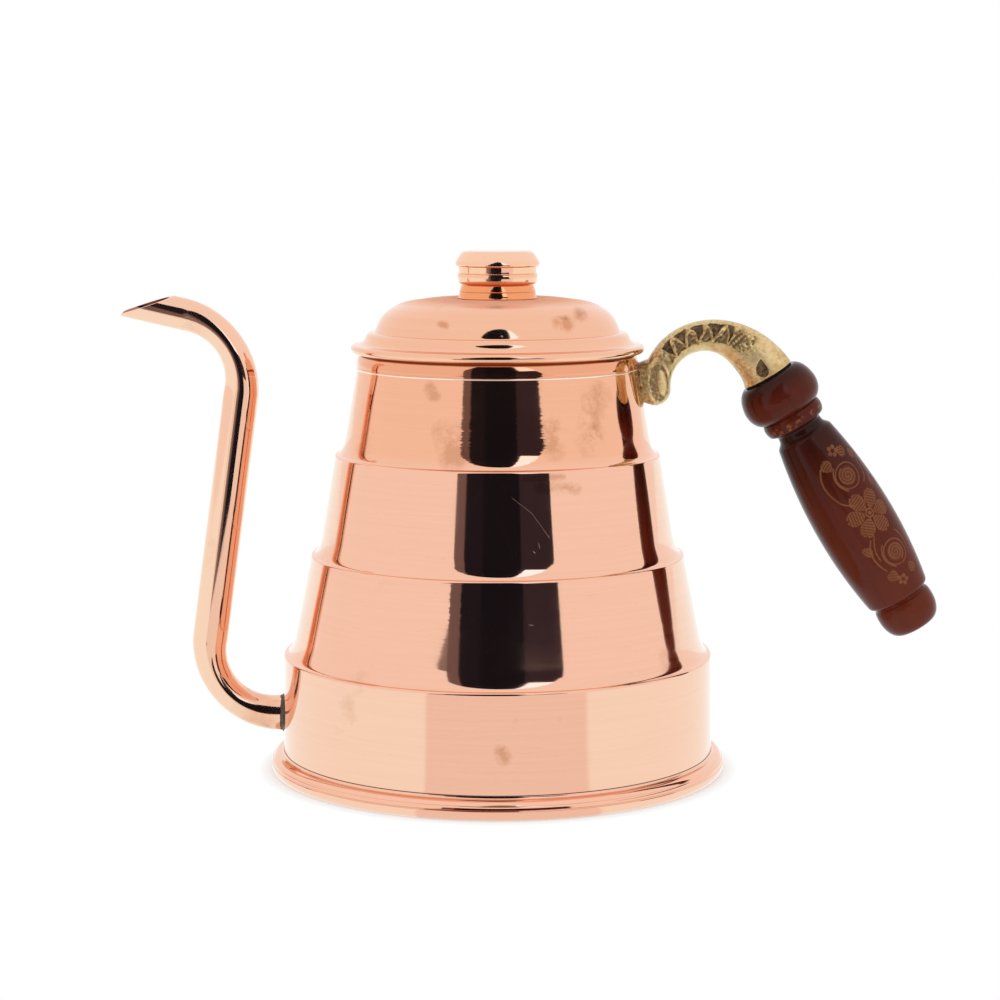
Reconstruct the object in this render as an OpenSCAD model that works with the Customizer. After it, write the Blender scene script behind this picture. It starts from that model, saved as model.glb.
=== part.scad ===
// Gooseneck kettle: a spun copper body in four tiers, a bent pouring spout, a lift-off lid and
// a cast brass bracket that carries a turned wooden grip on a steel tie rod.
// Millimetres. +Z is up and the origin is the centre of the flat base. The spout points to -X
// and the grip to +X.

/* [Body] */
// Outside diameter of the body at its foot
body_d = 141; // [136:0.5:142]
// Diameter that the lowest tier loses on its way up
tier1_taper = 0.8; // [0:0.2:4]
// Diameter that the second tier loses
tier2_taper = 12.8; // [10:0.2:15]
// Diameter that the third tier loses
tier3_taper = 10.6; // [8:0.2:13]
// Diameter that the top tier loses
tier4_taper = 9.1; // [7:0.1:12]
// Height of one tier
tier_h = 32.7; // [28:0.1:38]
// Thickness of the spun copper sheet
wall = 1; // [0.7:0.1:1.4]
// How far each tier stands in from the one below it
ledge_w = 2.7; // [2.2:0.1:3.2]
// Height of the hollow curve above each ledge
ledge_rise = 6.6; // [4:0.2:8]
// Rounding of each ledge's outer edge
ledge_edge_r = 0.8; // [0.4:0.1:1.2]
// Height of the doubled band round the mouth
mouth_band_h = 5.4; // [3:0.2:8]
// Thickness of the doubled band
mouth_band_t = 0.6; // [0.4:0.1:0.9]

/* [Foot] */
// How far the seam ring round the foot stands out from the body
foot_w = 4; // [3:0.1:7]
// Height of the seam ring
foot_h = 6; // [4.8:0.1:7]
// Thickness of the flat base plate
base_t = 1.2; // [0.8:0.1:2]
// Depth of the fine grooves turned in the seam ring
foot_groove = 0.3; // [0.15:0.05:0.4]

/* [Lid] */
// How far the lid's rim stands out from the mouth
lid_overhang = 1.95; // [1.2:0.05:3]
// Height of the rolled rim
lid_rim_h = 2.7; // [2.4:0.1:3.2]
// Thickness of the lid's sheet
lid_t = 0.9; // [0.7:0.1:1.1]
// Diameter of the wire inside the rolled rim
lid_wire_d = 1.5; // [1.2:0.1:1.6]
// Width of the flat ledge between the rim and the step above it
lid_ledge_w = 4.7; // [4:0.1:6]
// Height of the step
lid_step_h = 4.1; // [3.5:0.1:5]
// Width of the step's top, from its edge to the foot of the dome
dome_in = 3.8; // [2.4:0.1:6]
// Height of the dome above the step
dome_h = 10.5; // [9:0.1:14]
// Depth of the locating skirt below the mouth
skirt_h = 7.4; // [5:0.2:9]
// Thickness of the locating skirt
skirt_t = 0.8; // [0.6:0.1:1]
// Radial gap between the skirt and the mouth
skirt_gap = 0.35; // [0.3:0.05:0.6]

/* [Knob] */
// Diameter of the knob's bulging cap
knob_d = 27.4; // [26:0.2:30]
// Diameter of the waist between the neck and the cap
knob_waist_d = 25.6; // [24:0.2:26]
// Diameter of the neck's flared foot
knob_foot_d = 28; // [26:0.2:29]
// Height of the neck
knob_neck_h = 5; // [4:0.1:7]
// Height of the cap
knob_cap_h = 10.6; // [9:0.1:14]
// Thickness of the knob's sheet
knob_wall = 0.8; // [0.6:0.1:1.1]
// Diameter of the screw that holds the knob
knob_screw_d = 5; // [4:0.5:6]
// Diameter of the threaded boss inside the cap
knob_boss_d = 10; // [9:0.5:12]

/* [Spout] */
// Outside diameter of the tube up to the upper bend
spout_d = 11.5; // [10.6:0.1:12.4]
// Outside diameter of the tube at the tip
spout_tip_d = 10.4; // [9.6:0.1:11.2]
// Wall thickness of the tube
spout_wall = 0.9; // [0.7:0.1:1.2]
// Height of the tube's axis where it leaves the body
spout_z = 17.6; // [15:0.2:21]
// Straight length between the body and the lower bend
spout_stub = 2.4; // [1.6:0.2:6]
// Length of the tube's end inside the body
spout_inner = 1.4; // [1:0.2:3]
// Centre-line radius of the lower bend
lower_bend_r = 22; // [19:0.5:25]
// Length of the straight riser
riser_len = 81.5; // [70:0.5:90]
// Lean of the riser towards the body, in degrees
riser_lean = 7.9; // [5:0.1:9]
// Centre-line radius of the upper bend
upper_bend_r = 23; // [20:0.5:26]
// Rise of the straight tip above level, in degrees
tip_rise = 13; // [9:0.5:17]
// Share of its height that the tube loses in the middle of a bend
bend_flat = 0.14; // [0:0.02:0.18]
// Length of the straight tip along its lower edge
tip_len = 20.2; // [18:0.2:24]
// Slope of the cut that opens the tip, in degrees
tip_cut = 18; // [16:0.5:22]
// Reach of the solder fillet round the tube's root
solder_w = 1.3; // [0.8:0.1:1.8]

/* [Handle bracket] */
// Depth of the middle of the bracket's foot below the mouth
bracket_drop = 9.8; // [8.8:0.2:12]
// Radius of the rounded lobe at the bottom of the foot
lobe_r = 5; // [4.6:0.1:5.4]
// Distance of the arch's centre from the body
arch_reach = 21; // [20:0.2:23]
// Radius of the arch's inside
arch_r = 11.4; // [10.8:0.1:12]
// Thickness of the arm where it leaves the foot
arm_t = 8.9; // [8.4:0.1:9.8]
// Width of the arm at the foot
arm_foot_w = 15; // [13:0.5:17]
// Width of the arm at the crown
arm_crown_w = 11; // [9:0.2:13]
// Diameter of the round socket that meets the grip
socket_d = 17.2; // [16:0.2:18]

/* [Grip] */
// Distance of the grip's top from the body
grip_reach = 41.2; // [40:0.2:43]
// Height of the grip's top above the middle of the bracket's foot
grip_lift = 2.6; // [1.5:0.1:4]
// Lean of the grip away from the body, in degrees
grip_lean = 31.2; // [28:0.2:34]
// Diameter of the grip's flat top
grip_top_d = 18.4; // [18:0.2:20]
// Diameter of the collar
collar_d = 26; // [24:0.2:28]
// Distance of the collar's widest ring from the top
collar_s = 8; // [7:0.2:9]
// Length of the collar
collar_len = 14.2; // [13:0.2:15.6]
// Diameter of the bead below the collar
bead_d = 20.8; // [20:0.2:22]
// Length of the bead
bead_len = 5; // [4:0.2:6]
// Diameter at the bottom of the grooves
groove_d = 15.6; // [14.6:0.2:16.6]
// Width of the upper groove
groove_w = 2.4; // [1.6:0.2:3.2]
// Largest diameter of the barrel
barrel_d = 26.1; // [24:0.2:28]
// Diameter of the barrel at its upper end
barrel_top_d = 19.2; // [18.4:0.2:20.4]
// Diameter of the barrel at its lower end
barrel_end_d = 21.4; // [19.6:0.2:22.4]
// Length of the barrel
barrel_len = 63.2; // [56:0.2:70]
// Place of the barrel's widest ring, as a share of its length
barrel_peak = 0.57; // [0.4:0.01:0.6]
// Diameter of the end bead
end_bead_d = 19.8; // [18.4:0.2:21]
// Length of the end bead
end_bead_len = 12; // [11:0.2:14]

/* [Fasteners] */
// Diameter of the tie rod
rod_d = 5; // [4:0.5:6]
// Gap between the tie rod and the grip's bore
rod_gap = 0.2; // [0.1:0.05:0.4]
// Depth of the tie rod in the bracket
rod_depth = 12; // [10:0.5:14]
// Width of the tie rod's nut across its flats
nut_flats = 8; // [7.5:0.5:9]
// Thickness of the nut
nut_h = 4; // [3:0.2:5]
// Gap round the nut's washer in its recess
recess_gap = 0.5; // [0.3:0.1:0.8]
// Thickness of the washers
washer_t = 1; // [0.6:0.1:1.2]
// Diameter of the bracket's two rivets
rivet_d = 4; // [3:0.5:4.5]
// Distance between the two rivets
rivet_pitch = 8.6; // [8:0.2:9.4]
// Depth of the rivets in the bracket's foot
rivet_depth = 4; // [3:0.2:5]

/* [Hidden] */
$fn = 96;
// Facets round the surfaces that thin pieces are dressed to
fine = 360;

copper = "#e8a184";
solder_grey = "#55524e";
brass = "#b39a5c";
steel = "#b8bcc0";
dark_wood = "#5e1f14";

// A cut runs this far past the faces that it opens
past = 2;
// The bracket's foot starts this far back from its first ring, inside the body's outline
foot_root = 6;

// Body, as tiers counted from 0 at the foot
tiers = 4;
tier_z = [for (i = [0 : tiers]) foot_h + i * tier_h];
mouth_z = tier_z[tiers];
band_z = mouth_z - mouth_band_h;
body_r = body_d / 2;
tapers = [tier1_taper, tier2_taper, tier3_taper, tier4_taper] / 2;

// Outside radius of a tier at its top: each tier starts one ledge in from the one below
function top_r(i) = (i == 0 ? body_r : top_r(i - 1) - ledge_w) - tapers[i];
tier_top_r = [for (i = [0 : tiers - 1]) top_r(i)];
tier_foot_r = tier_top_r + tapers;
mouth_r = tier_top_r[tiers - 1];
tier_end_z = [for (i = [0 : tiers - 1]) i == tiers - 1 ? band_z : tier_z[i + 1]];
neck_r = mouth_r - mouth_band_t;
mouth_in_r = neck_r - wall;

// Seam ring: its widest part is a third of the way up, with a rounded toe below it and a long
// rounded shoulder above it
foot_r = body_r + foot_w;
bulge_z = foot_h * 0.36;
toe_w = 0.7;
seam_w = 1;
shoulder_w = foot_w - seam_w;
groove_z = [foot_h * 0.52, foot_h * 0.72];

// Outside radius of the seam ring's shoulder at a height
function shoulder_r(z) =
    let (up = (z - bulge_z) / (foot_h - bulge_z))
    foot_r - shoulder_w * (1 - sqrt(1 - pow(up, 2)));

// Points of an elliptical arc about a centre, from one angle to another
function arc(centre, rx, ry, from, to, steps = 8) = [
    for (i = [0 : steps])
        let (a = from + (to - from) * i / steps)
        [centre.x + rx * cos(a), centre.y + ry * sin(a)]
];

// Points of a curve that leaves p towards q and arrives at r from q
function curve(p, q, r, steps = 8) = [
    for (i = [0 : steps])
        let (t = i / steps)
        p * pow(1 - t, 2) + q * 2 * t * (1 - t) + r * pow(t, 2)
];

function mix(a, b, t) = a + (b - a) * t;
function polar(centre, a, r) = centre + r * [cos(a), sin(a)];
function reversed(list) = [for (i = [len(list) - 1 : -1 : 0]) list[i]];
function moved_in(list, by) = [for (p = list) [p.x - by, p.y]];

// Outside radius of a tier's wall at a height
function tier_r(i, z) =
    tier_foot_r[i] + (tier_top_r[i] - tier_foot_r[i]) * (z - tier_z[i]) / (tier_end_z[i] - tier_z[i]);

// A tier's rounded top edge and the hollow curve up to the next tier's wall
function ledge(i) =
    let (edge_x = tier_top_r[i] - ledge_edge_r, z = tier_z[i + 1], wall_z = z + ledge_rise)
    concat(
        arc([edge_x, z - ledge_edge_r], ledge_edge_r, ledge_edge_r, 0, 90, 4),
        arc([edge_x, wall_z], edge_x - tier_r(i + 1, wall_z), ledge_rise, 265, 180, 8)
    );

// Outside of the body from its foot to the lower edge of the mouth band
body_line = concat(
    [[body_r, base_t], [body_r, foot_h]],
    [for (i = [0 : tiers - 2]) each ledge(i)],
    [[mouth_r, band_z]]
);
neck_line = [[neck_r, band_z], [neck_r, mouth_z]];
// The inside is the outside moved in and down by the wall
inner_line = concat(
    [for (p = concat(body_line, [neck_line[0]])) [p.x - wall, max(base_t, p.y - wall)]],
    [[mouth_in_r, mouth_z]]
);

// Everything inside the body's outside, and everything inside its bore
module body_outside() {
    rotate_extrude($fn = fine)
    polygon(concat([[0, base_t]], body_line, [[mouth_r, mouth_z], [0, mouth_z]]));
}

module body_inside() {
    rotate_extrude($fn = fine)
    polygon(concat([[0, base_t]], inner_line, [[0, mouth_z]]));
}

// A cylinder whose axis runs along +X from a point
module x_cylinder(from, length, r1, r2) {
    translate(from)
    rotate([0, 90, 0])
    cylinder(h = length, r1 = r1, r2 = r2);
}

// Spout, in the plane y = 0: the centre line's corner points and angles
spout_r = spout_d / 2;
spout_tip_r = spout_tip_d / 2;
spout_wall_x = -tier_r(0, spout_z);
lower_centre = [spout_wall_x - spout_stub, spout_z + lower_bend_r];
riser_dir = [sin(riser_lean), cos(riser_lean)];
riser_foot = lower_centre + lower_bend_r * [-riser_dir.y, riser_dir.x];
riser_top = riser_foot + riser_len * riser_dir;
upper_centre = riser_top + upper_bend_r * [-riser_dir.y, riser_dir.x];
upper_turn = 90 + riser_lean - tip_rise;
tip_dir = [-cos(tip_rise), sin(tip_rise)];
tip_root = upper_centre + upper_bend_r * [tip_dir.y, -tip_dir.x];
tip_end = tip_root + tip_len * tip_dir;
tip_point = tip_end - spout_tip_r * [tip_dir.y, -tip_dir.x];
// The cut leaves the lip this high at the very tip
tip_lip = 1.1;
bend_rings = 12;
tube_sides = 24;

// Stations along the spout: centre, direction of travel in degrees, radius, and the share of
// its height that the section has lost
spout_stations = concat(
    [
        [[spout_wall_x + wall + spout_inner, spout_z], 180, spout_r, 0],
        [[spout_wall_x - solder_w, spout_z], 180, spout_r, 0]
    ],
    bend_stations(lower_centre, lower_bend_r, 270, 180 - riser_lean, -90, [spout_r, spout_r]),
    bend_stations(
        upper_centre, upper_bend_r, -riser_lean, upper_turn - riser_lean, 90,
        [spout_r, spout_tip_r]
    ),
    [[tip_end, 180 - tip_rise, spout_tip_r, 0]]
);

// A bend's stations, flattened most in the middle of the bend. tube_r holds the tube's radius
// at the start and at the end of the bend.
function bend_stations(centre, bend_r, from, to, ahead, tube_r) = [
    for (i = [0 : bend_rings])
        let (t = i / bend_rings, a = mix(from, to, t), flat = bend_flat * sin(180 * t))
        [polar(centre, a, bend_r), a + ahead, mix(tube_r[0], tube_r[1], t), flat]
];

// A ring of points round a station, this far inside the tube's outside
function tube_ring(station, inset) =
    let (
        along = station[1],
        half_h = station[2] * (1 - station[3]) - inset,
        half_w = station[2] * (1 + station[3] / 2) - inset
    )
    [
        for (k = [0 : tube_sides - 1])
            let (
                a = 360 * k / tube_sides,
                p = station[0] + half_h * cos(a) * [-sin(along), cos(along)]
            )
            [p.x, half_w * sin(a), p.y]
    ];

// Two triangles for each side of the band between two rings that start at points a and b
function band(a, b, sides) = [
    for (k = [0 : sides - 1])
        let (n = (k + 1) % sides)
        each [[a + k, b + n, b + k], [a + k, a + n, b + n]]
];

// A hollow tube through a list of stations, with a wall of even thickness
module tube(stations, thickness) {
    rings = len(stations);
    inner_from = rings * tube_sides;
    points = [for (inset = [0, thickness], station = stations) each tube_ring(station, inset)];
    walls = [
        for (i = [0 : rings - 2])
            each concat(
                band(i * tube_sides, (i + 1) * tube_sides, tube_sides),
                band(inner_from + (i + 1) * tube_sides, inner_from + i * tube_sides, tube_sides)
            )
    ];
    ends = concat(
        band(inner_from, 0, tube_sides),
        band((rings - 1) * tube_sides, inner_from + (rings - 1) * tube_sides, tube_sides)
    );
    polyhedron(points = points, faces = concat(walls, ends), convexity = 8);
}

// Bracket and grip, in the plane y = 0
bracket_foot_z = mouth_z - bracket_drop;
foot_x = tier_r(tiers - 1, bracket_foot_z);
arch_drop = 1;
arch_centre = [foot_x + arch_reach, bracket_foot_z - arch_drop];
grip_top = [foot_x + grip_reach, bracket_foot_z + grip_lift];
grip_across = [cos(grip_lean), sin(grip_lean)];
socket_out = grip_top + socket_d / 2 * grip_across - arch_centre;
socket_in = grip_top - socket_d / 2 * grip_across - arch_centre;
arm_outer_r = arch_r + arm_t;
// Rounded lobe at the bottom of the foot, tangent to the inside of the arch
lobe_drop = 1.4;
lobe_centre = arch_centre - [arch_r + lobe_r, lobe_drop];
lobe_from = -105;
// Share of the arm's rings that the lobe takes, and how far the upper edge gets meanwhile
lobe_share = 0.24;
outer_start = 0.07;
// Angle about the arch's centre at which the arm's upper edge leaves the foot
arm_outer_from = 155;
arm_rings = 32;
arm_sides = 24;
// Powers of the way along the arm: the higher, the nearer the socket a size starts to change
outer_power = 3;
inner_power = 5;
width_power = 3;
// The arm's section goes from a rounded square at the foot to a circle at the socket
square_power = 3;
round_power = 2;

// Share of the way along the arch when the arm is at t and the lobe ends at a given share
function arch_way(t, start) =
    t < lobe_share ? start * t / lobe_share : mix(start, 1, (t - lobe_share) / (1 - lobe_share));
function arm_outer(t) =
    let (u = arch_way(t, outer_start))
    polar(
        arch_centre,
        mix(arm_outer_from, atan2(socket_out.y, socket_out.x), u),
        mix(arm_outer_r, norm(socket_out), pow(u, outer_power))
    );
// The arm swells into the arch just above the socket, and this is the swelling's height
swell = 1;
function arch_swell(u) = swell * pow(sin(180 * pow(u, 3)), 2);
function arm_inner(t) =
    let (u = arch_way(t, 0))
    t < lobe_share
        ? polar(lobe_centre, mix(lobe_from, 0, t / lobe_share), lobe_r)
        : polar(
            arch_centre,
            mix(180 + asin(lobe_drop / arch_r), atan2(socket_in.y, socket_in.x), u),
            mix(arch_r, norm(socket_in), pow(u, inner_power)) - arch_swell(u)
        );
function arm_half_w(t) =
    arm_crown_w / 2
    + (socket_d - arm_crown_w) / 2 * pow(t, width_power)
    + (arm_foot_w - arm_crown_w) / 2 * pow(1 - t, width_power);
function rounded(value, power) = sign(value) * pow(abs(value), 2 / power);

// A ring of points round the arm, moved back towards the body
function arm_ring(t, back = 0) =
    let (
        middle = (arm_outer(t) + arm_inner(t)) / 2,
        half = (arm_outer(t) - arm_inner(t)) / 2,
        power = mix(square_power, round_power, pow(t, width_power))
    )
    [
        for (k = [0 : arm_sides - 1])
            let (
                a = 360 * k / arm_sides,
                p = middle + half * rounded(cos(a), power)
            )
            [p.x - back, arm_half_w(t) * rounded(sin(a), power), p.y]
    ];

// The bracket's curved arm, swept as rings from inside the body's wall to the socket
module arm() {
    points = concat(
        arm_ring(0, foot_root),
        [for (i = [0 : arm_rings]) each arm_ring(i / arm_rings)]
    );
    last = (arm_rings + 1) * arm_sides;
    walls = [for (i = [0 : arm_rings]) each band(i * arm_sides, (i + 1) * arm_sides, arm_sides)];
    start_cap = [[for (k = [arm_sides - 1 : -1 : 0]) k]];
    end_cap = [[for (k = [0 : arm_sides - 1]) last + k]];
    polyhedron(points = points, faces = concat(walls, start_cap, end_cap), convexity = 6);
}

// Puts a shape made along +Z from its top at the grip's top, pointing down the grip
module along_grip() {
    translate([grip_top.x, 0, grip_top.y])
    rotate([0, 180 - grip_lean, 0])
    children();
}

// Grip, as distances down its axis
bead_s = collar_len;
groove_s = bead_s + bead_len;
barrel_s = groove_s + groove_w;
barrel_end_s = barrel_s + barrel_len;
grip_len = barrel_end_s + end_bead_len;
rod_bore_r = rod_d / 2 + rod_gap;
nut_r = nut_flats / 2 / cos(30);
washer_r = nut_r + 0.4;
recess_r = washer_r + recess_gap;
// The nut sits this far inside the grip's end
nut_inset = 1;
recess_len = nut_h + washer_t + nut_inset;
washer_s = grip_len - recess_len;

// Outline of the turned grip from its top edge to its end edge. The turned edges are eased by
// a little, and the end is a quarter ellipse down to the rim of the nut's recess.
ease = 0.4;
barrel_steps = 7;
end_round = 7;
function grip_line() =
    let (
        collar_r = collar_d / 2,
        seam_r = bead_d / 2 - ease,
        groove_r = groove_d / 2,
        barrel_r = barrel_d / 2,
        barrel_from = barrel_s + groove_w,
        barrel_to = barrel_end_s - 2 * ease,
        peak_s = mix(barrel_s, barrel_end_s, barrel_peak),
        end_bead_r = end_bead_d / 2,
        end_groove_s = barrel_end_s + 2 * ease,
        rim_r = recess_r + ease
    )
    concat(
        curve([grip_top_d / 2, 0], [collar_r - ease, collar_s / 3], [collar_r, collar_s]),
        curve([collar_r, collar_s], [collar_r, mix(collar_s, bead_s, 0.7)], [seam_r, bead_s]),
        curve(
            [seam_r, bead_s],
            [bead_d / 2 + ease, mix(bead_s, groove_s, 0.5)],
            [seam_r - ease, groove_s - ease]
        ),
        [[groove_r, groove_s], [groove_r, barrel_s]],
        [
            for (i = [-barrel_steps : barrel_steps])
                let (
                    t = i / barrel_steps,
                    end_r = (i < 0 ? barrel_top_d : barrel_end_d) / 2,
                    end_s = i < 0 ? barrel_from : barrel_to
                )
                [barrel_r - (barrel_r - end_r) * pow(t, 2), mix(peak_s, end_s, abs(t))]
        ],
        [[end_bead_r - 2 * ease, end_groove_s], [end_bead_r - ease / 2, end_groove_s + 3 * ease]],
        arc([rim_r, grip_len - end_round], end_bead_r - rim_r, end_round, 10, 90)
    );

// Rivets, side by side across the bracket's foot and this far below its middle, so that
// their inner heads clear the lid's skirt
rivet_drop = 3.5;
rivet_z = bracket_foot_z - rivet_drop;
rivet_r = rivet_d / 2;
rivet_head_r = 1.6 * rivet_r;
rivet_head_h = 0.8 * rivet_r;
burr_margin = 0.8;
burr_r = rivet_head_r + burr_margin;
// The burrs are at least this thick at their far edges, where the curved wall is nearest
burr_min_t = 0.6;
burr_wall_r = tier_r(tiers - 1, rivet_z + burr_r) - wall;
burr_x = sqrt(pow(burr_wall_r, 2) - pow(rivet_pitch / 2 + burr_r, 2)) - burr_min_t;
rivet_end_x = foot_x + rivet_depth;

module at_rivets() {
    for (side = [-1, 1])
        translate([0, side * rivet_pitch / 2, rivet_z])
        children();
}

// Lid, by heights above the mouth
lid_r = mouth_r + lid_overhang;
lid_flange_z = mouth_z + lid_rim_h;
lid_step_z = lid_flange_z + lid_step_h;
lid_top_z = lid_step_z + dome_h;
lid_bead_r = lid_rim_h / 2;
wire_centre = [lid_r - lid_bead_r, mouth_z + lid_bead_r];
skirt_out_r = mouth_in_r - skirt_gap;
lid_step_r = lid_r - lid_ledge_w;
step_foot_r = 0.5;
step_edge_r = 0.9;
dome_r = lid_step_r - dome_in;
// The dome's corner takes this share of its radius, and the crown above it is nearly flat
corner_share = 0.36;
crown_rise = 0.5;
seat_margin = 0.5;
seat_r = knob_foot_d / 2 + seat_margin;

// Outside of the lid from the top of its rim to the knob's seat
lid_line = concat(
    [
        [lid_step_r + step_foot_r, lid_flange_z],
        [lid_step_r, lid_flange_z + step_foot_r]
    ],
    arc([lid_step_r - step_edge_r, lid_step_z - step_edge_r], step_edge_r, step_edge_r, 0, 90, 4),
    arc(
        [dome_r * (1 - corner_share), lid_step_z],
        dome_r * corner_share, dome_h - crown_rise, 0, 84, 10
    ),
    [[seat_r, lid_top_z], [0, lid_top_z]]
);

// Knob, from the lid's seat up: the neck flares to a bead where the cap is soldered on, and
// the cap has a waist above the bead and a rounded bulge above the waist
neck_top_z = lid_top_z + knob_neck_h;
knob_top_z = neck_top_z + knob_cap_h;
waist_r = knob_waist_d / 2;
cap_r = knob_d / 2;
knob_bead = 0.6;
waist_h = 3.6;
cap_round = 3.2;
cap_round_h = 4.2;

neck_line_out = curve(
    [knob_foot_d / 2, lid_top_z],
    [waist_r - knob_bead / 2, mix(lid_top_z, neck_top_z, 0.6)],
    [waist_r + knob_bead, neck_top_z]
);
cap_side = concat(
    curve(
        [waist_r + knob_bead, neck_top_z],
        [waist_r - knob_bead, neck_top_z + waist_h / 2],
        [waist_r + knob_bead / 3, neck_top_z + waist_h],
        6
    ),
    arc([cap_r - cap_round, knob_top_z - cap_round_h], cap_round, cap_round_h, -30, 90)
);

// Screw from under the lid up into the boss
washer_top_z = lid_top_z - lid_t;
washer_bottom_z = washer_top_z - washer_t;
screw_r = knob_screw_d / 2;
screw_play = 0.3;
screw_hole_r = screw_r + screw_play;
screw_head_r = 1.9 * screw_r;
screw_head_h = 1.2 * screw_r;
knob_washer_r = 2.5 * screw_r;
cap_inner_z = knob_top_z - knob_wall;
boss_bottom_z = neck_top_z + waist_h / 2;
screw_top_z = mix(boss_bottom_z, cap_inner_z, 0.8);

// Spun copper shell with its holes for the spout and the rivets
module body_shell() {
    color(copper)
    difference() {
        rotate_extrude()
        polygon(concat(body_line, neck_line, reversed(inner_line)));
        x_cylinder([spout_wall_x - past, 0, spout_z], wall + 2 * past, spout_r, spout_r);
        at_rivets()
        x_cylinder([burr_x, 0, 0], rivet_end_x - burr_x, rivet_r, rivet_r);
    }
}

// Doubled copper band that stiffens the mouth
module mouth_band() {
    color(copper)
    rotate_extrude()
    translate([neck_r, band_z])
    square([mouth_band_t, mouth_band_h]);
}

// Flat copper plate that closes the body
module base_plate() {
    color(copper)
    cylinder(h = base_t, r = body_r);
}

// Folded seam ring round the foot, with two fine grooves
module foot_ring() {
    color(copper)
    difference() {
        rotate_extrude()
        polygon(concat(
            [[body_r, 0]],
            arc([foot_r - toe_w, bulge_z], toe_w, bulge_z, -90, 0, 6),
            arc([foot_r - shoulder_w, bulge_z], shoulder_w, foot_h - bulge_z, 15, 90, 5),
            [[body_r, foot_h]]
        ));
        for (z = groove_z)
            rotate_extrude()
            translate([shoulder_r(z), z])
            circle(r = foot_groove);
    }
}

// Bent pouring tube with an obliquely cut tip
module spout_tube() {
    color(copper)
    difference() {
        tube(spout_stations, spout_wall);
        translate([tip_point.x, 0, tip_point.y + tip_lip])
        rotate([0, -tip_cut, 0])
        translate([-spout_d, -spout_d, 0])
        cube([4 * spout_d, 2 * spout_d, 2 * spout_d]);
    }
}

// Solder fillet between the tube and the body's wall
module spout_solder() {
    color(solder_grey)
    difference() {
        x_cylinder(
            [spout_wall_x - solder_w, 0, spout_z], solder_w + 1,
            spout_r + solder_w * 0.4, spout_r + solder_w
        );
        x_cylinder([spout_wall_x - solder_w - past, 0, spout_z], solder_w + 2 * past, spout_r, spout_r);
        body_outside();
    }
}

// Cast brass arm with its foot on the body and its round socket on the grip
module handle_bracket() {
    color(brass)
    difference() {
        arm();
        body_outside();
        along_grip()
        translate([0, 0, -rod_depth])
        cylinder(h = rod_depth + past, r = rod_d / 2);
        at_rivets()
        x_cylinder([burr_x, 0, 0], rivet_end_x - burr_x, rivet_r, rivet_r);
    }
}

// Two copper rivets from inside the body into the bracket's foot
module bracket_rivets() {
    color(copper)
    at_rivets() {
        x_cylinder([burr_x, 0, 0], rivet_end_x - burr_x, rivet_r, rivet_r);
        x_cylinder([burr_x - rivet_head_h, 0, 0], rivet_head_h, rivet_head_r * 0.6, rivet_head_r);
    }
}

// Washers under the rivets' inner heads, dressed to the curved wall
module rivet_burrs() {
    color(copper)
    difference() {
        intersection() {
            at_rivets()
            x_cylinder([burr_x, 0, 0], foot_x - burr_x, burr_r, burr_r);
            body_inside();
        }
        at_rivets()
        x_cylinder([burr_x - past, 0, 0], foot_x - burr_x + 2 * past, rivet_r, rivet_r);
    }
}

// Turned wooden grip with a bore for the tie rod and a recess for its nut
module grip() {
    color(dark_wood)
    along_grip()
    difference() {
        rotate_extrude()
        polygon(concat([[0, 0]], grip_line(), [[0, grip_len]]));
        translate([0, 0, -past])
        cylinder(h = grip_len + 2 * past, r = rod_bore_r);
        translate([0, 0, washer_s])
        cylinder(h = recess_len + past, r = recess_r);
    }
}

// Steel rod that draws the grip against the bracket
module tie_rod() {
    color(steel)
    along_grip()
    translate([0, 0, -rod_depth])
    cylinder(h = rod_depth + grip_len - nut_inset, r = rod_d / 2);
}

// Washer under the tie rod's nut
module grip_washer() {
    color(steel)
    along_grip()
    translate([0, 0, washer_s])
    difference() {
        cylinder(h = washer_t, r = washer_r);
        translate([0, 0, -past])
        cylinder(h = washer_t + 2 * past, r = rod_bore_r);
    }
}

// Hexagon nut on the end of the tie rod
module grip_nut() {
    color(steel)
    along_grip()
    translate([0, 0, washer_s + washer_t])
    difference() {
        cylinder(h = nut_h, r = nut_r, $fn = 6);
        translate([0, 0, -past])
        cylinder(h = nut_h + 2 * past, r = rod_d / 2);
    }
}

// Spun copper lid: a rolled rim, a step and a dome
module lid_shell() {
    under = [for (p = lid_line) [max(0, p.x - lid_t), p.y - lid_t]];
    under_dome = [for (p = under) if (p.x <= lid_step_r - lid_t && p.y > lid_flange_z - lid_t) p];
    color(copper)
    difference() {
        rotate_extrude()
        difference() {
            polygon(concat(
                [[skirt_out_r, lid_flange_z - lid_t], [skirt_out_r, mouth_z]],
                arc(wire_centre, lid_bead_r, lid_bead_r, -90, 90, 12),
                lid_line,
                reversed(under_dome),
                [[lid_step_r - lid_t, lid_flange_z - lid_t]]
            ));
            translate(wire_centre)
            circle(d = lid_wire_d);
        }
        translate([0, 0, washer_top_z - past])
        cylinder(h = lid_t + 2 * past, r = screw_hole_r);
    }
}

// Wire that the lid's rim is rolled round
module lid_wire() {
    color(copper)
    rotate_extrude()
    translate(wire_centre)
    circle(d = lid_wire_d);
}

// Ring under the lid that drops into the mouth
module lid_skirt() {
    color(copper)
    rotate_extrude()
    translate([skirt_out_r - skirt_t, mouth_z - skirt_h])
    square([skirt_t, skirt_h + lid_rim_h - lid_t]);
}

// Hollow spun neck of the knob
module knob_neck() {
    color(copper)
    rotate_extrude()
    polygon(concat(neck_line_out, reversed(moved_in(neck_line_out, knob_wall))));
}

// Hollow spun cap of the knob
module knob_cap() {
    inside = [
        for (p = reversed(moved_in(cap_side, knob_wall)))
            [p.x, min(p.y, cap_inner_z)]
    ];
    color(copper)
    rotate_extrude()
    polygon(concat(cap_side, [[0, knob_top_z], [0, cap_inner_z]], inside));
}

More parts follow.
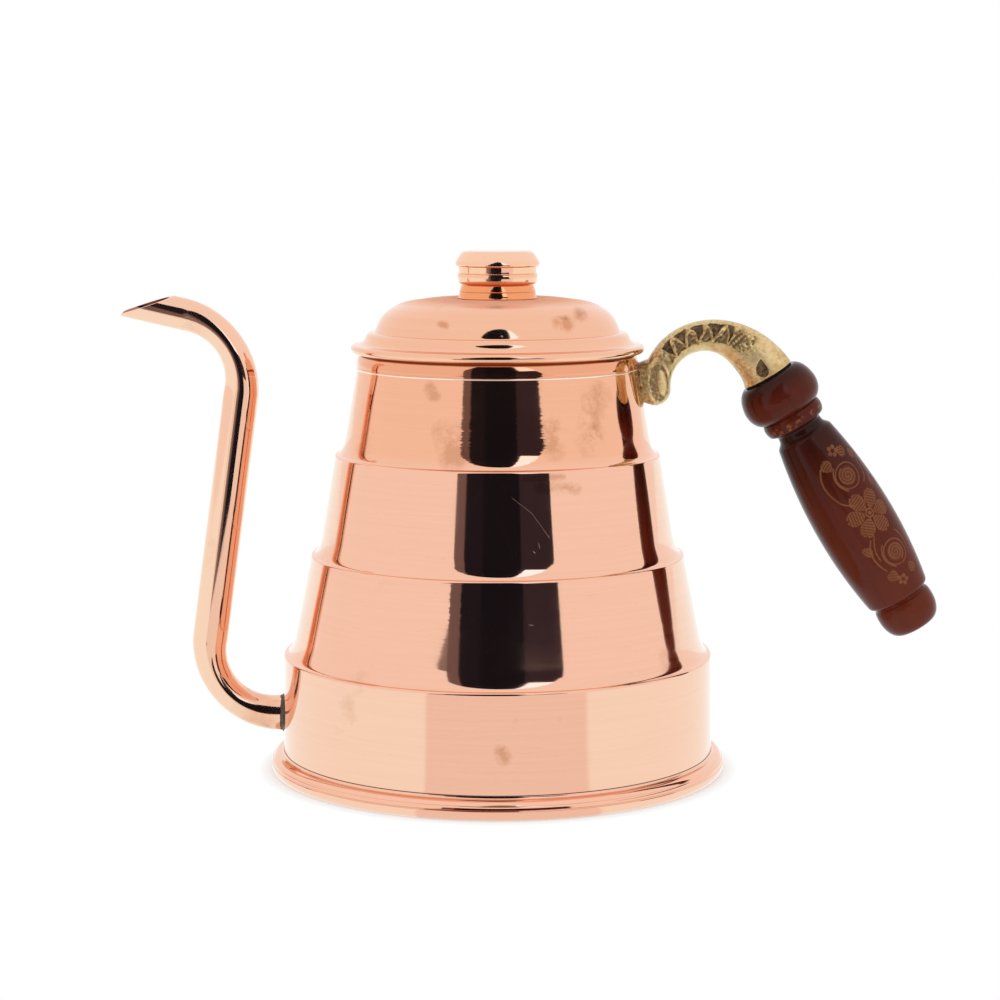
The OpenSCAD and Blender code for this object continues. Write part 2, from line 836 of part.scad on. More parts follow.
// Threaded brass boss soldered inside the cap
module knob_boss() {
    color(brass)
    translate([0, 0, boss_bottom_z])
    difference() {
        cylinder(h = cap_inner_z - boss_bottom_z, d = knob_boss_d);
        translate([0, 0, -past])
        cylinder(h = screw_top_z - boss_bottom_z + past, r = screw_r);
    }
}

// Screw that clamps the knob to the lid
module knob_screw() {
    color(steel) {
        translate([0, 0, washer_bottom_z])
        cylinder(h = screw_top_z - washer_bottom_z, r = screw_r);
        translate([0, 0, washer_bottom_z - screw_head_h])
        cylinder(h = screw_head_h, r1 = screw_head_r * 0.7, r2 = screw_head_r);
    }
}

// Washer between the screw's head and the lid
module knob_washer() {
    color(steel)
    translate([0, 0, washer_bottom_z])
    difference() {
        cylinder(h = washer_t, r = knob_washer_r);
        translate([0, 0, -past])
        cylinder(h = washer_t + 2 * past, r = screw_hole_r);
    }
}

body_shell();
mouth_band();
base_plate();
foot_ring();
spout_tube();
spout_solder();
handle_bracket();
bracket_rivets();
rivet_burrs();
grip();
tie_rod();
grip_washer();
grip_nut();
lid_shell();
lid_wire();
lid_skirt();
knob_neck();
knob_cap();
knob_boss();
knob_screw();
knob_washer();
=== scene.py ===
"""A polished copper gooseneck kettle: its finished surfaces, floor, light and camera.

Lengths are in millimetres in the frame of the CAD model, with +Z up, the spout towards -X and
the grip towards +X. They become metres where a mesh is made. Node trees, cards, floor and camera
are in metres.
"""

from functools import partialmethod
from math import asin, atan2, cos, degrees, dist, pi, radians, sin, sqrt, tan

import bmesh
import bpy
import numpy as np
from mathutils import Matrix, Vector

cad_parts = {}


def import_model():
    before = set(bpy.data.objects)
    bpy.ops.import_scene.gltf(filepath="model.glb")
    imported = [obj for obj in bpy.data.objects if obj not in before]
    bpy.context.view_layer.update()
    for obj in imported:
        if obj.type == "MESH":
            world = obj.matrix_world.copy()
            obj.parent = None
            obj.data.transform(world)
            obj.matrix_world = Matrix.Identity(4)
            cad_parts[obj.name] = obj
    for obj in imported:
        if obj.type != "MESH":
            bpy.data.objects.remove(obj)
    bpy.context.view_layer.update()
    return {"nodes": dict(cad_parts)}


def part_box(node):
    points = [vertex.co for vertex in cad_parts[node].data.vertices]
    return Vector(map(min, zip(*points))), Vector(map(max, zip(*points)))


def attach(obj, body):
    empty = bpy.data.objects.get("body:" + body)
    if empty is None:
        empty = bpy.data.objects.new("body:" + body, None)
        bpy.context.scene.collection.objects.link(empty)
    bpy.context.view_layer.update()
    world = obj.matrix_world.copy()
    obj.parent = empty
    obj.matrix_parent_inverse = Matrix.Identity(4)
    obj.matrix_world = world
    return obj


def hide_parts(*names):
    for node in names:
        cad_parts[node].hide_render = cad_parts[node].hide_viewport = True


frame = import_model()

MM = 0.001
SEED = 7
TURNS = 240
FINE_TURNS = 320
SHARP_ANGLE = 38

# Body: the tiers' outside radii at the foot and at the top, counted from the bottom
TIER_FOOT_R = (70.5, 67.4, 58.3, 50.3)
TIER_TOP_R = (70.1, 61.0, 53.0, 45.75)
TIER_H = 32.7
FOOT_H = 6.0
BASE_T = 1.2
WALL = 1.0
LEDGE_RISE = 6.6
LEDGE_EDGE_R = 0.8
HOLLOW_FULLNESS = 0.6
BAND_H = 5.4
BAND_T = 0.6
BAND_BEAD = 0.3
BAND_ROLL = 2.0
BAND_ROLL_RISE = 4.55
BODY_R = TIER_FOOT_R[0]
MOUTH_R = TIER_TOP_R[3]
MOUTH_Z = FOOT_H + 4 * TIER_H
BAND_Z = MOUTH_Z - BAND_H
NECK_R = MOUTH_R - BAND_T
LIP_Z = MOUTH_Z - 2.6

# Seam ring round the foot
FOOT_R = 74.5
BULGE_Z = 0.36 * FOOT_H
TOE_W = 1.8
SHOULDER_W = 3.0
GROOVE_Z = (3.1, 4.3)
GROOVE = 0.26

# Lid and knob
LID_R = MOUTH_R + 1.95
RIM_H = 2.7
LID_T = 0.9
STEP_R = 43.0
STEP_H = 4.1
STEP_ROUND = 2.6
DOME_R = 39.2
DOME_H = 10.5
CORNER_SHARE = 0.36
CROWN_RISE = 0.5
CROWN_LIP = 0.35
CROWN_R = 18.0
LID_HOLE_R = 3.0
SKIRT_OUT_R = NECK_R - WALL - 0.35
SKIRT_T = 0.8
SKIRT_H = 7.4
SKIRT_EDGE = 0.25
FLANGE_Z = MOUTH_Z + RIM_H
STEP_Z = FLANGE_Z + STEP_H
STEP_WAIST_Z = FLANGE_Z + 1.5
LID_TOP_Z = STEP_Z + DOME_H
KNOB_FOOT_R = 12.6
KNOB_NECK_R = 11.5
WAIST_R = 12.8
KNOB_R = 13.7
KNOB_NECK_H = 5.0
NECK_TOP_Z = LID_TOP_Z + KNOB_NECK_H
BRIM_Z = NECK_TOP_Z + 5.55
KNOB_TOP_Z = NECK_TOP_Z + 10.6
KNOB_WALL = 0.8

# Spout, in the plane y = 0
SPOUT_R = 5.75
SPOUT_TIP_R = 5.2
SPOUT_WALL = 0.9
SPOUT_Z = 17.6
SPOUT_STUB = 2.4
SPOUT_INNER = 1.4
LOWER_BEND_R = 22.0
RISER_LEN = 81.5
RISER_LEAN = 7.9
UPPER_BEND_R = 23.0
TIP_RISE = 13.0
TIP_LEN = 20.2
TIP_CUT = 18.0
TIP_LIP = 1.1
CUT_TURN = 0.09
BEND_FLAT = 0.14
SOLDER_W = 1.3

# Bracket, in the plane y = 0
BRACKET_Z = MOUTH_Z - 9.8
ARCH_R = 11.4
ARM_T = 8.9
ARM_FOOT_W = 15.0
ARM_CROWN_W = 11.0
LOBE_R = 5.0
LOBE_DROP = 1.4
LOBE_SHARE = 0.24
SOCKET_R = 8.6
RIVET_PITCH = 8.6
RIVET_R = 2.0
RIVET_HEAD_R = 3.2
RIVET_HEAD_H = RIVET_HEAD_R / 2
RIVET_Z = BRACKET_Z - 3.5

# Grip: distances are measured down its axis from its top
GRIP_LEAN = 31.2
GRIP_REACH = 41.2
GRIP_LIFT = 2.6
GRIP_TOP_R = 9.2
COLLAR_R = 13.0
COLLAR_S = 8.0
COLLAR_LEN = 14.2
BEAD_R = 10.4
BEAD_LEN = 5.0
NECK_GROOVE_R = 7.8
NECK_GROOVE_W = 2.4
BARREL_R = 13.05
BARREL_TOP_R = 9.6
BARREL_END_R = 10.7
BARREL_LEN = 63.2
BARREL_PEAK = 0.57
END_BEAD_R = 9.9
END_BEAD_LEN = 12.0
END_ROUND = 7.0
EASE = 0.4
ROD_BORE_R = 2.7
RECESS_R = 5.52
RECESS_LEN = 6.0
CUP_DEPTH = 1.1
CUP_LIP = 0.8
CUP_GAP = 0.3
CARVE_DEPTH = 0.16
CHIP_DEPTH = 0.05


# ---- outlines

def mix(a, b, share):
    return np.array(a) * (1 - share) + np.array(b) * share


def smooth(low, high, value):
    """0 below low, 1 above high, and a smooth ramp between them."""
    t = np.clip((value - low) / (high - low), 0, 1)
    return t * t * (3 - 2 * t)


def around(count):
    """Angles that divide a full turn."""
    return np.linspace(0, 2 * pi, count, endpoint=False)


def arc(cx, cz, rx, rz, start, end, steps):
    """Points along part of an ellipse, with its angles in degrees."""
    angles = np.radians(np.linspace(start, end, steps + 1))
    return [(cx + rx * cos(a), cz + rz * sin(a)) for a in angles]


def curve(p, q, r, steps):
    """Points along a curve that leaves p towards q and arrives at r from q."""
    p, q, r = np.array(p), np.array(q), np.array(r)
    shares = np.linspace(0, 1, steps + 1)
    return [tuple(p * (1 - t)**2 + q * 2 * t * (1 - t) + r * t * t) for t in shares]


def hollow(p, corner, r, fullness):
    """Points after p along a curve to r, which keeps close to the corner at high fullness."""
    q1, q2 = mix(p, corner, fullness), mix(r, corner, fullness)
    points = []
    for t in np.linspace(0, 1, 23)[1:]:
        u = 1 - t
        bend = u**3 * np.array(p) + 3 * u * u * t * q1 + 3 * u * t * t * q2 + t**3 * np.array(r)
        points.append(tuple(bend))
    return points


def shifted(outline, x, z):
    return [(px + x, pz + z) for px, pz in outline]


def bead(r, z, size):
    """A fine raised line on an upright outline."""
    return arc(r, z, size, size, -75, 75, 6)


def held(outline, closed, hold=0.12):
    """Adds a point close to each end of every long straight stretch, which keeps the shading of
    the stretch even right up to the curves beside it."""
    points = []
    count = len(outline)
    for i, here in enumerate(outline):
        points.append(here)
        if i + 1 == count and not closed:
            continue
        after = outline[(i + 1) % count]
        length = dist(here, after)
        if length > 8 * hold:
            for share in (hold / length, 1 - hold / length):
                points.append(tuple(mix(here, after, share)))
    return points


# ---- meshes

def linked(name, data, materials=()):
    """Puts an object into the scene."""
    for material in materials:
        data.materials.append(material)
    piece = bpy.data.objects.new(name, data)
    bpy.context.scene.collection.objects.link(piece)
    return piece


def finished(name, rings, body, materials, sharp=SHARP_ANGLE, closed=True, lined_from=0):
    """Makes a piece from rings of points in millimetres and lets it ride on a body. A closed piece
    joins its last ring to its first. A second material starts at the ring lined_from."""
    rows, columns = np.shape(rings)[:2]
    faces = grid_faces(rows if closed else rows - 1, rows, columns)
    mesh = bpy.data.meshes.new(name)
    mesh.from_pydata((np.reshape(rings, (-1, 3)) * MM).tolist(), [], faces)
    if len(materials) > 1:
        lined = [int(i // columns >= lined_from) for i in range(len(faces))]
        mesh.polygons.foreach_set("material_index", lined)
    work = bmesh.new()
    work.from_mesh(mesh)
    bmesh.ops.remove_doubles(work, verts=work.verts, dist=1e-6)
    work.to_mesh(mesh)
    work.free()
    mesh.polygons.foreach_set("use_smooth", [True] * len(mesh.polygons))
    mesh.set_sharp_from_angle(angle=radians(sharp))
    piece = linked(name, mesh, materials)
    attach(piece, body)
    return piece


def grid_faces(bands, rows, columns):
    """Quads of a grid of closed rows, band by band."""
    faces = []
    for i in range(bands):
        low, high = i * columns, (i + 1) % rows * columns
        for k in range(columns):
            n = (k + 1) % columns
            faces.append((low + k, low + n, high + n, high + k))
    return faces


def turned_rings(outline, turns):
    """An outline (radius, height) spun round the Z axis, one ring for each of its points."""
    angles = around(turns)
    radius, height = np.array(outline).T[:, :, None]
    z = np.repeat(height, turns, axis=1)
    return np.stack([radius * np.cos(angles), radius * np.sin(angles), z], -1)


def turned(name, outside, body, materials, inside=(), turns=TURNS):
    """A closed sheet metal piece turned round the Z axis. Its outside runs upwards, and its inside
    back down. Where a second material is given, it covers the inside."""
    outside, inside = held(outside, False), held(inside, False)
    rings = turned_rings(outside + inside, turns)
    return finished(name, rings, body, materials, lined_from=len(outside))


def store(piece, values):
    """Stores values for each point on a piece, as attributes that its material reads. The lists may
    run past the piece's last point, where points at one place were joined."""
    count = len(piece.data.vertices)
    for name, numbers in values.items():
        layer = piece.data.attributes.new(name, "FLOAT", "POINT")
        layer.data.foreach_set("value", np.ravel(numbers).astype(np.float32)[:count])


# ---- materials

def opaque(value):
    """A colour with its alpha. Anything else stays as it is."""
    return (*value, 1.0) if isinstance(value, tuple) and len(value) == 3 else value


class Shader:
    """A material's node tree. Its calls add nodes and join them, and take numbers, colours or the
    sockets of earlier nodes."""

    def __init__(self, name):
        self.material = bpy.data.materials.new(name)
        self.material.use_nodes = True
        self.tree = self.material.node_tree
        self.tree.nodes.clear()
        self.output = self.add("OutputMaterial")
        self.coordinates = self.add("TexCoord").outputs["Object"]

    def add(self, kind, inputs=None, **settings):
        made = self.tree.nodes.new("ShaderNode" + kind)
        for key, value in settings.items():
            setattr(made, key, value)
        for key, value in (inputs or {}).items():
            socket = made.inputs[key]
            if isinstance(value, bpy.types.NodeSocket):
                self.tree.links.new(value, socket)
            else:
                socket.default_value = value
        return made

    def math(self, operation, a, b=0.0, clamp=False):
        return self.add("Math", {0: a, 1: b}, operation=operation, use_clamp=clamp).outputs[0]

    plus = partialmethod(math, "ADD")
    minus = partialmethod(math, "SUBTRACT")
    times = partialmethod(math, "MULTIPLY")
    larger = partialmethod(math, "MAXIMUM")
    size = partialmethod(math, "ABSOLUTE")

    def span(self, a, b):
        """Length of the long side of a right triangle."""
        return self.math("SQRT", self.plus(self.times(a, a), self.times(b, b)))

    def axes(self, vector):
        """The x, y and z of a vector."""
        return self.add("SeparateXYZ", {0: vector}).outputs[:]

    def attribute(self, name):
        return self.add("Attribute", attribute_name=name).outputs["Fac"]

    def noise(self, scale, detail, roughness=0.5, stretch=None, vector=None):
        """Noise over a vector, which is the object's coordinates where none is given. A stretch
        scales each of its axes first, for lines and grain."""
        vector = vector or self.coordinates
        if stretch:
            vector = self.add("Mapping", {"Vector": vector, "Scale": stretch}).outputs[0]
        inputs = {"Vector": vector, "Scale": scale, "Detail": detail, "Roughness": roughness}
        return self.add("TexNoise", inputs).outputs["Fac"]

    def ramp(self, value, low, high, start=0.0, end=1.0):
        """Maps low..high of a value to start..end, clamped."""
        inputs = {"Value": value, "From Min": low, "From Max": high, "To Min": start, "To Max": end}
        return self.add("MapRange", inputs).outputs["Result"]

    def blend(self, factor, a, b):
        """Mixes two colours. The Mix node's colour sockets are number 6 and 7."""
        inputs = {0: factor, 6: opaque(a), 7: opaque(b)}
        return self.add("Mix", inputs, data_type="RGBA").outputs[2]

    def bump(self, height, strength, distance, normal=None):
        inputs = {"Height": height, "Strength": strength, "Distance": distance}
        if normal is not None:
            inputs["Normal"] = normal
        return self.add("Bump", inputs).outputs["Normal"]

    def glow(self, colour, strength=1.0):
        return self.add("Emission", {"Color": opaque(colour), "Strength": strength})

    def closed_by(self, shader):
        """Ends the tree in a shader node and returns the material."""
        self.tree.links.new(shader.outputs[0], self.output.inputs[0])
        return self.material

    def surface(self, tint, roughness, normal, metallic=1.0, **more):
        """Ends the tree in a Principled shader, where underscores stand for spaces."""
        more.update(Base_Color=tint, Roughness=roughness, Normal=normal, Metallic=metallic)
        inputs = {key.replace("_", " "): value for key, value in more.items()}
        return self.closed_by(self.add("BsdfPrincipled", inputs))


def near_ring(s, place, ring):
    """1 close to a ring round the Z axis, given as (radius, height, reach) in millimetres."""
    radius, height, reach = (MM * value for value in ring)
    x, y, z = place
    away = s.span(s.minus(s.span(x, y), radius), s.minus(z, height))
    return s.ramp(away, reach, 0.45 * reach)


def near_stroke(s, place, stroke):
    """1 close to a stroke on the front, given as (x, z, x, z, half width) in millimetres."""
    x0, z0, x1, z1, half = (MM * value for value in stroke)
    run_x, run_z = x1 - x0, z1 - z0
    x, y, z = place
    off_x, off_z = s.minus(x, x0), s.minus(z, z0)
    dot = s.plus(s.times(off_x, run_x), s.times(off_z, run_z))
    share = s.math("DIVIDE", dot, run_x**2 + run_z**2, clamp=True)
    gap_x = s.minus(off_x, s.times(share, run_x))
    gap_z = s.minus(off_z, s.times(share, run_z))
    in_front = s.math("LESS_THAN", y, 0.0)
    return s.times(s.ramp(s.span(gap_x, gap_z), half, 0.1 * half), in_front)


def nearest(s, near, place, marks):
    """The largest value that near_ring or near_stroke has for any of the marks."""
    most = 0.0
    for mark in marks:
        most = s.larger(most, near(s, place, mark))
    return most


def stains(s, place, strokes):
    """1 inside cloudy stains along strokes on the front."""
    most = nearest(s, near_stroke, place, strokes)
    ragged = s.ramp(s.noise(110.0, 8.0, 0.75), 0.36, 0.66)
    return s.ramp(s.times(most, ragged), 0.10, 0.55)


def light_specks(s):
    """1 inside small round specks, which gather in a few places."""
    spots = s.add("TexVoronoi", {"Vector": s.coordinates, "Scale": 150.0, "Randomness": 1.0})
    rare = s.ramp(s.noise(45.0, 2.0), 0.60, 0.68)
    return s.times(s.ramp(spots.outputs["Distance"], 0.075, 0.05), rare)


def level_wisps(s):
    """1 on thin level lines, where a flattened noise crosses its middle."""
    wave = s.noise(60.0, 2.0, stretch=(0.35, 0.35, 7.0))
    return s.ramp(s.size(s.minus(wave, 0.5)), 0.004, 0.0)


def turned_sideways(s, normal, amount):
    """Swings a normal sideways round the Z axis, which frays the edges of what it reflects."""
    sideways = s.add("VectorMath", {0: (0, 0, 1), 1: normal}, operation="CROSS_PRODUCT").outputs[0]
    swing = s.add("VectorMath", {0: sideways, 3: amount}, operation="SCALE").outputs[0]
    swung = s.add("VectorMath", {0: normal, 1: swing}, operation="ADD").outputs[0]
    return s.add("VectorMath", {0: swung}, operation="NORMALIZE").outputs[0]


FRAY = 0.055
FRAY_SIDE_X = (0.022, 0.032)


def copper_normal(s, x, fine, lines):
    """Slight waves and turning lines. Some places fray what they reflect, most of all near the
    middle of the kettle's front."""
    wave = s.noise(26.0, 2.0, stretch=(1.0, 1.0, 0.55))
    normal = s.bump(fine, 0.08 * lines, 0.00006, s.bump(wave, 0.12, 0.0009))
    if not lines:
        return normal
    patches = s.noise(30.0, 1.0, stretch=(0.3, 0.3, 1.0))
    frayed = s.ramp(patches, 0.46, 0.62, 0.06, 1.0)
    frayed = s.times(frayed, s.ramp(s.size(x), *FRAY_SIDE_X, 1.0, 0.12))
    thread = s.noise(2400.0, 1.0, stretch=(0.01, 0.01, 1.0))
    swing = s.times(s.minus(thread, 0.5), s.times(frayed, FRAY * lines))
    return turned_sideways(s, normal, swing)


# Dark colour of tarnish blotches, and of the shade painted into crevices
DARK_TARNISH_AND_SHADE = (0.10, 0.030, 0.012)
# Pale colour of the highlight lines painted along rings
PAINTED_HIGHLIGHT = (0.98, 0.76, 0.65)


def copper(
    name, colour, stain, stain_from, lines=1.0, crevices=(), scratches=(), zones=(), stained=(),
    painted_sheen=(), satin=(),
):
    """Polished copper with turning lines, where lines is 1, and with tarnish from a level of its
    noise. Zones are (height, height, colour) in millimetres, where the colour sets in. Crevices,
    where shade is painted dark, pale painted highlight lines and duller satin metal are rings, and
    scratches and stains are strokes."""
    s = Shader(name)
    place = s.axes(s.coordinates)
    cloud = s.noise(34.0, 5.0, 0.6)
    fine = s.noise(900.0, 2.0, stretch=(0.02, 0.02, 1.0))
    specks = light_specks(s)
    crevice_shade = nearest(s, near_ring, place, crevices)
    tint = colour
    for low, high, warmer in zones:
        tint = s.blend(s.ramp(place[2], MM * low, MM * high), tint, warmer)
    tarnish = s.ramp(cloud, stain_from, stain_from + 0.16)
    if stained:
        tarnish = s.larger(tarnish, stains(s, place, stained))
    tint = s.blend(s.times(tarnish, 0.62), tint, stain)
    blotch = s.ramp(s.noise(95.0, 4.0, 0.62), 0.60, 0.70)
    tint = s.blend(s.times(s.times(blotch, tarnish), 0.3), tint, DARK_TARNISH_AND_SHADE)
    tint = s.blend(s.ramp(fine, 0.35, 0.8, 0.0, 0.07 * lines), tint, stain)
    tint = s.blend(s.times(specks, 0.6), tint, tuple(0.5 + 0.5 * c for c in colour))
    tint = s.blend(s.times(level_wisps(s), 0.12), tint, stain)
    # Painted shade: the crevice rings are darkened
    if crevices:
        tint = s.blend(s.times(crevice_shade, 0.9), tint, DARK_TARNISH_AND_SHADE)
    # Painted highlights: pale lines along the given rings
    for ring in painted_sheen:
        tint = s.blend(near_ring(s, place, ring), tint, PAINTED_HIGHLIGHT)
    marks = specks
    for stroke in scratches:
        marks = s.larger(marks, s.times(near_stroke(s, place, stroke), 0.6))
    roughness = s.plus(s.ramp(cloud, 0.35, 0.75, 0.04, 0.11), s.times(marks, 0.45))
    if crevices:
        roughness = s.plus(roughness, s.times(crevice_shade, 0.35))
    if satin:
        roughness = s.plus(roughness, s.times(nearest(s, near_ring, place, satin), 0.85))
    normal = copper_normal(s, place[0], fine, lines)
    return s.surface(tint, roughness, normal)


def plain_metal(s, cloud, tones, grain, relief, rough, metallic=1.0):
    """Metal whose colour follows a cloud over tones (level, colour, colour), and whose relief
    (strength, distance) and roughness follow a grain."""
    level, dark, pale = tones
    tint = s.blend(s.ramp(cloud, level, 0.7), dark, pale)
    roughness = s.ramp(grain, 0.3, 0.7, *rough)
    return s.surface(tint, roughness, s.bump(grain, *relief), metallic)


def tin(name):
    """The kettle's wiped tin lining."""
    s = Shader(name)
    cloud, streak = s.noise(60.0, 5.0, 0.6), s.noise(320.0, 3.0, stretch=(0.05, 0.05, 1.0))
    tones = (0.35, (0.56, 0.54, 0.52), (0.68, 0.66, 0.63))
    return plain_metal(s, cloud, tones, streak, (0.15, 0.0001), (0.26, 0.40))


def solder(name):
    s = Shader(name)
    lump = s.noise(700.0, 4.0, 0.6)
    tones = (0.35, (0.045, 0.036, 0.028), (0.15, 0.115, 0.085))
    return plain_metal(s, lump, tones, lump, (0.5, 0.0003), (0.35, 0.55), metallic=0.7)


def steel(name):
    s = Shader(name)
    grain = s.noise(1400.0, 3.0)
    tones = (0.3, (0.50, 0.50, 0.49), (0.62, 0.61, 0.59))
    return plain_metal(s, grain, tones, grain, (0.1, 0.00005), (0.24, 0.36))


FLANGE_X = (0.0492, 0.0478)
GAP_MARK = 2.0


def brass(name):
    """Cast brass, polished on its raised parts and dark in its recesses, from mesh attributes. The
    flange at the kettle's wall is old gold, and a recess of GAP_MARK is painted black, as the shade
    in the gap at the grip."""
    s = Shader(name)
    recess, polish = s.attribute("recess"), s.attribute("polish")
    grain = s.noise(900.0, 5.0, 0.65)
    cloud = s.noise(170.0, 4.0, 0.6)
    bright = s.blend(s.ramp(cloud, 0.35, 0.68), (0.62, 0.40, 0.15), (0.95, 0.75, 0.42))
    patina = s.blend(s.ramp(grain, 0.36, 0.60), (0.88, 0.65, 0.33), (0.32, 0.19, 0.065))
    worn_and_painted_sheen = s.blend(s.ramp(cloud, 0.52, 0.66, 0.0, 0.8), patina, (0.46, 0.27, 0.11))
    dark = s.blend(s.ramp(grain, 0.38, 0.66), (0.032, 0.017, 0.006), (0.27, 0.16, 0.070))
    shade = s.ramp(s.plus(recess, s.ramp(grain, 0.3, 0.8, -0.20, 0.20)), 0.18, 0.62)
    tint = s.blend(shade, s.blend(polish, worn_and_painted_sheen, bright), dark)
    flange = s.ramp(s.axes(s.coordinates)[0], *FLANGE_X)
    old_gold = s.blend(s.ramp(grain, 0.40, 0.62), (0.52, 0.40, 0.17), (0.22, 0.12, 0.04))
    tint = s.blend(s.times(flange, s.minus(1.0, shade)), tint, old_gold)
    # Painted shade: black where the recess marks the gap at the grip
    tint = s.blend(s.ramp(recess, 0.7 * GAP_MARK, 0.9 * GAP_MARK), tint, (0.010, 0.004, 0.002))
    normal = s.bump(grain, 0.6, 0.00025, s.bump(cloud, 0.6, 0.0012))
    roughness = s.plus(s.ramp(polish, 0.0, 1.0, 0.34, 0.44), s.times(shade, 0.3))
    metallic = s.ramp(s.plus(shade, s.times(flange, 1.2)), 0.0, 1.5, 0.85, 0.30)
    return s.surface(tint, roughness, normal, metallic)


BEAD_AT = 0.0176
NECK_AT = 0.0215


def painted_shade(s, along):
    """1 where shade is painted nearly black: the grip's top, neck groove and barrel's start."""
    top = s.ramp(along, 0.0072, 0.001)
    edges = s.ramp(s.size(s.minus(along, NECK_AT)), 0.0045, 0.001)
    barrel = s.times(s.ramp(along, 0.046, 0.026), s.ramp(along, 0.0205, 0.0225, 0.0, 0.75))
    return s.larger(s.larger(top, edges), barrel)


def lacquered_wood(name, placed):
    """Dark red lacquer over turned wood. The grain runs along the grip, the attribute "depth"
    marks the carving and "along" is the distance down the grip, in metres."""
    s = Shader(name)
    depth, along = s.attribute("depth"), s.attribute("along")
    turn = {"Vector": s.coordinates, "Rotation": placed.to_euler()}
    local = s.add("Mapping", turn, vector_type="TEXTURE").outputs[0]
    grain = s.noise(420.0, 4.0, 0.6, (1.0, 1.0, 0.08), local)
    cloud = s.noise(38.0, 3.0, 0.55, vector=local)
    mottle = s.noise(120.0, 4.0, 0.6, vector=local)
    low_side = s.axes(local)[0]
    # Painted light: the red is lighter on the grip's low side and darker on the other side
    under = s.ramp(s.plus(s.times(cloud, 0.02), low_side), -0.006, 0.018)
    red = s.blend(under, (0.085, 0.011, 0.004), (0.520, 0.110, 0.024))
    red = s.blend(s.ramp(mottle, 0.44, 0.64, 0.0, 0.50), red, (0.090, 0.013, 0.005))
    red = s.blend(s.ramp(grain, 0.45, 0.75, 0.0, 0.40), red, (0.026, 0.005, 0.003))
    # Painted sheen: a lighter band on the low side and a lighter lower barrel
    lit = s.ramp(low_side, 0.0020, 0.0105, 0.0, 0.55)
    painted_sheen = s.larger(lit, s.ramp(along, 0.045, 0.088, 0.0, 0.06))
    worn_and_painted_sheen = s.times(painted_sheen, s.ramp(along, 0.026, 0.040))
    red = s.blend(worn_and_painted_sheen, red, (0.60, 0.115, 0.026))
    # Painted shade: nearly black at the top, round the neck groove and at the barrel's start
    red = s.blend(s.times(painted_shade(s, along), 0.85), red, (0.014, 0.004, 0.003))
    carved = s.blend(s.ramp(grain, 0.3, 0.7), (0.17, 0.055, 0.020), (0.26, 0.092, 0.034))
    tint = s.blend(s.ramp(depth, 0.15, 0.8, 0.0, 0.85), red, carved)
    chipped = s.ramp(s.noise(520.0, 5.0, 0.7, vector=local), 0.53, 0.62)
    rims = s.ramp(s.size(s.minus(along, BEAD_AT)), 0.0016, 0.0008)
    tint = s.blend(s.times(s.times(chipped, rims), 0.8), tint, (0.30, 0.10, 0.025))
    return s.surface(
        tint, s.ramp(depth, 0.1, 0.8, 0.20, 0.45), s.bump(grain, 0.08, 0.0001), metallic=0.0,
        Specular_IOR_Level=0.10, Coat_Weight=0.09, Coat_Roughness=0.05, Coat_IOR=1.5,
    )


# Rings where shade is painted dark: the gap under the lid's rim, the seam above the foot ring and
# the foot ring's grooves
MOUTH_GAP = (NECK_R + 0.3, MOUTH_Z + 0.2, 1.0)
WALL_SEAM = (BODY_R + 0.1, FOOT_H + 1.0, 0.24)
FOOT_GROOVES = ((73.9, GROOVE_Z[0], 0.30), (73.4, GROOVE_Z[1], 0.30))
# A painted highlight line along the bead at the band's foot
BAND_LINE = (MOUTH_R + 0.35, BAND_Z + 0.3, 0.48)
NECK_SKIRT = (13.0, LID_TOP_Z, 21.0)
SCRATCHES = (
    (4.6, 96.2, 10.5, 91.5, 0.10), (10.5, 91.5, 16.0, 83.9, 0.08), (12.6, 82.5, 13.0, 80.8, 0.10),
    (11.0, 80.0, 11.6, 79.4, 0.16), (9.6, 58.4, 11.0, 58.3, 0.10), (-36.0, 69.5, -33.0, 66.0, 0.08),
)
BODY_STAINS = (
    (-15.5, 115.0, -13.5, 108.5, 6.5), (16.5, 117.0, 17.5, 110.5, 5.5),
    (30.5, 124.5, 29.5, 113.0, 7.5), (8.0, 101.9, 20.0, 102.2, 1.7),
    (13.0, 99.3, 24.0, 98.4, 2.8), (1.2, 21.0, 2.2, 18.5, 3.4),
    (-21.0, 128.6, -19.5, 126.5, 3.0),
)
LID_STAINS = (
    (19.5, 148.6, 21.5, 147.8, 3.6), (25.4, 150.6, 26.4, 150.2, 2.9),
    (-18.0, 148.0, -16.0, 147.6, 1.7),
)
WARM_SHOULDER = (103.5, 107.5, (0.91, 0.475, 0.305))
WARM_BAND = (BAND_Z, BAND_Z + 0.8, (0.86, 0.39, 0.225))
# The knob's brim top and crown are painted paler, as painted light where they catch highlights
KNOB_TOP_PAINTED_LIGHT = (KNOB_TOP_Z - 5.0, KNOB_TOP_Z - 3.0, (0.95, 0.60, 0.42))

BODY_COPPER = copper(
    "body copper", (0.92, 0.53, 0.38), (0.60, 0.27, 0.14), 0.64, scratches=SCRATCHES,
    crevices=(MOUTH_GAP, WALL_SEAM, *FOOT_GROOVES), zones=(WARM_SHOULDER, WARM_BAND),
    stained=BODY_STAINS, painted_sheen=(BAND_LINE,),
)
LID_COPPER = copper(
    "lid copper", (0.91, 0.51, 0.345), (0.60, 0.22, 0.09), 0.62, crevices=(MOUTH_GAP,),
    stained=LID_STAINS, satin=(NECK_SKIRT,),
)
KNOB_COPPER = copper(
    "knob copper", (0.93, 0.54, 0.355), (0.74, 0.30, 0.14), 0.60, zones=(KNOB_TOP_PAINTED_LIGHT,)
)
NECK_COPPER = copper("knob neck copper", (0.88, 0.345, 0.15), (0.70, 0.25, 0.10), 0.60)
BORE_COPPER = copper("bore copper", (0.46, 0.20, 0.13), (0.20, 0.08, 0.05), 0.45)
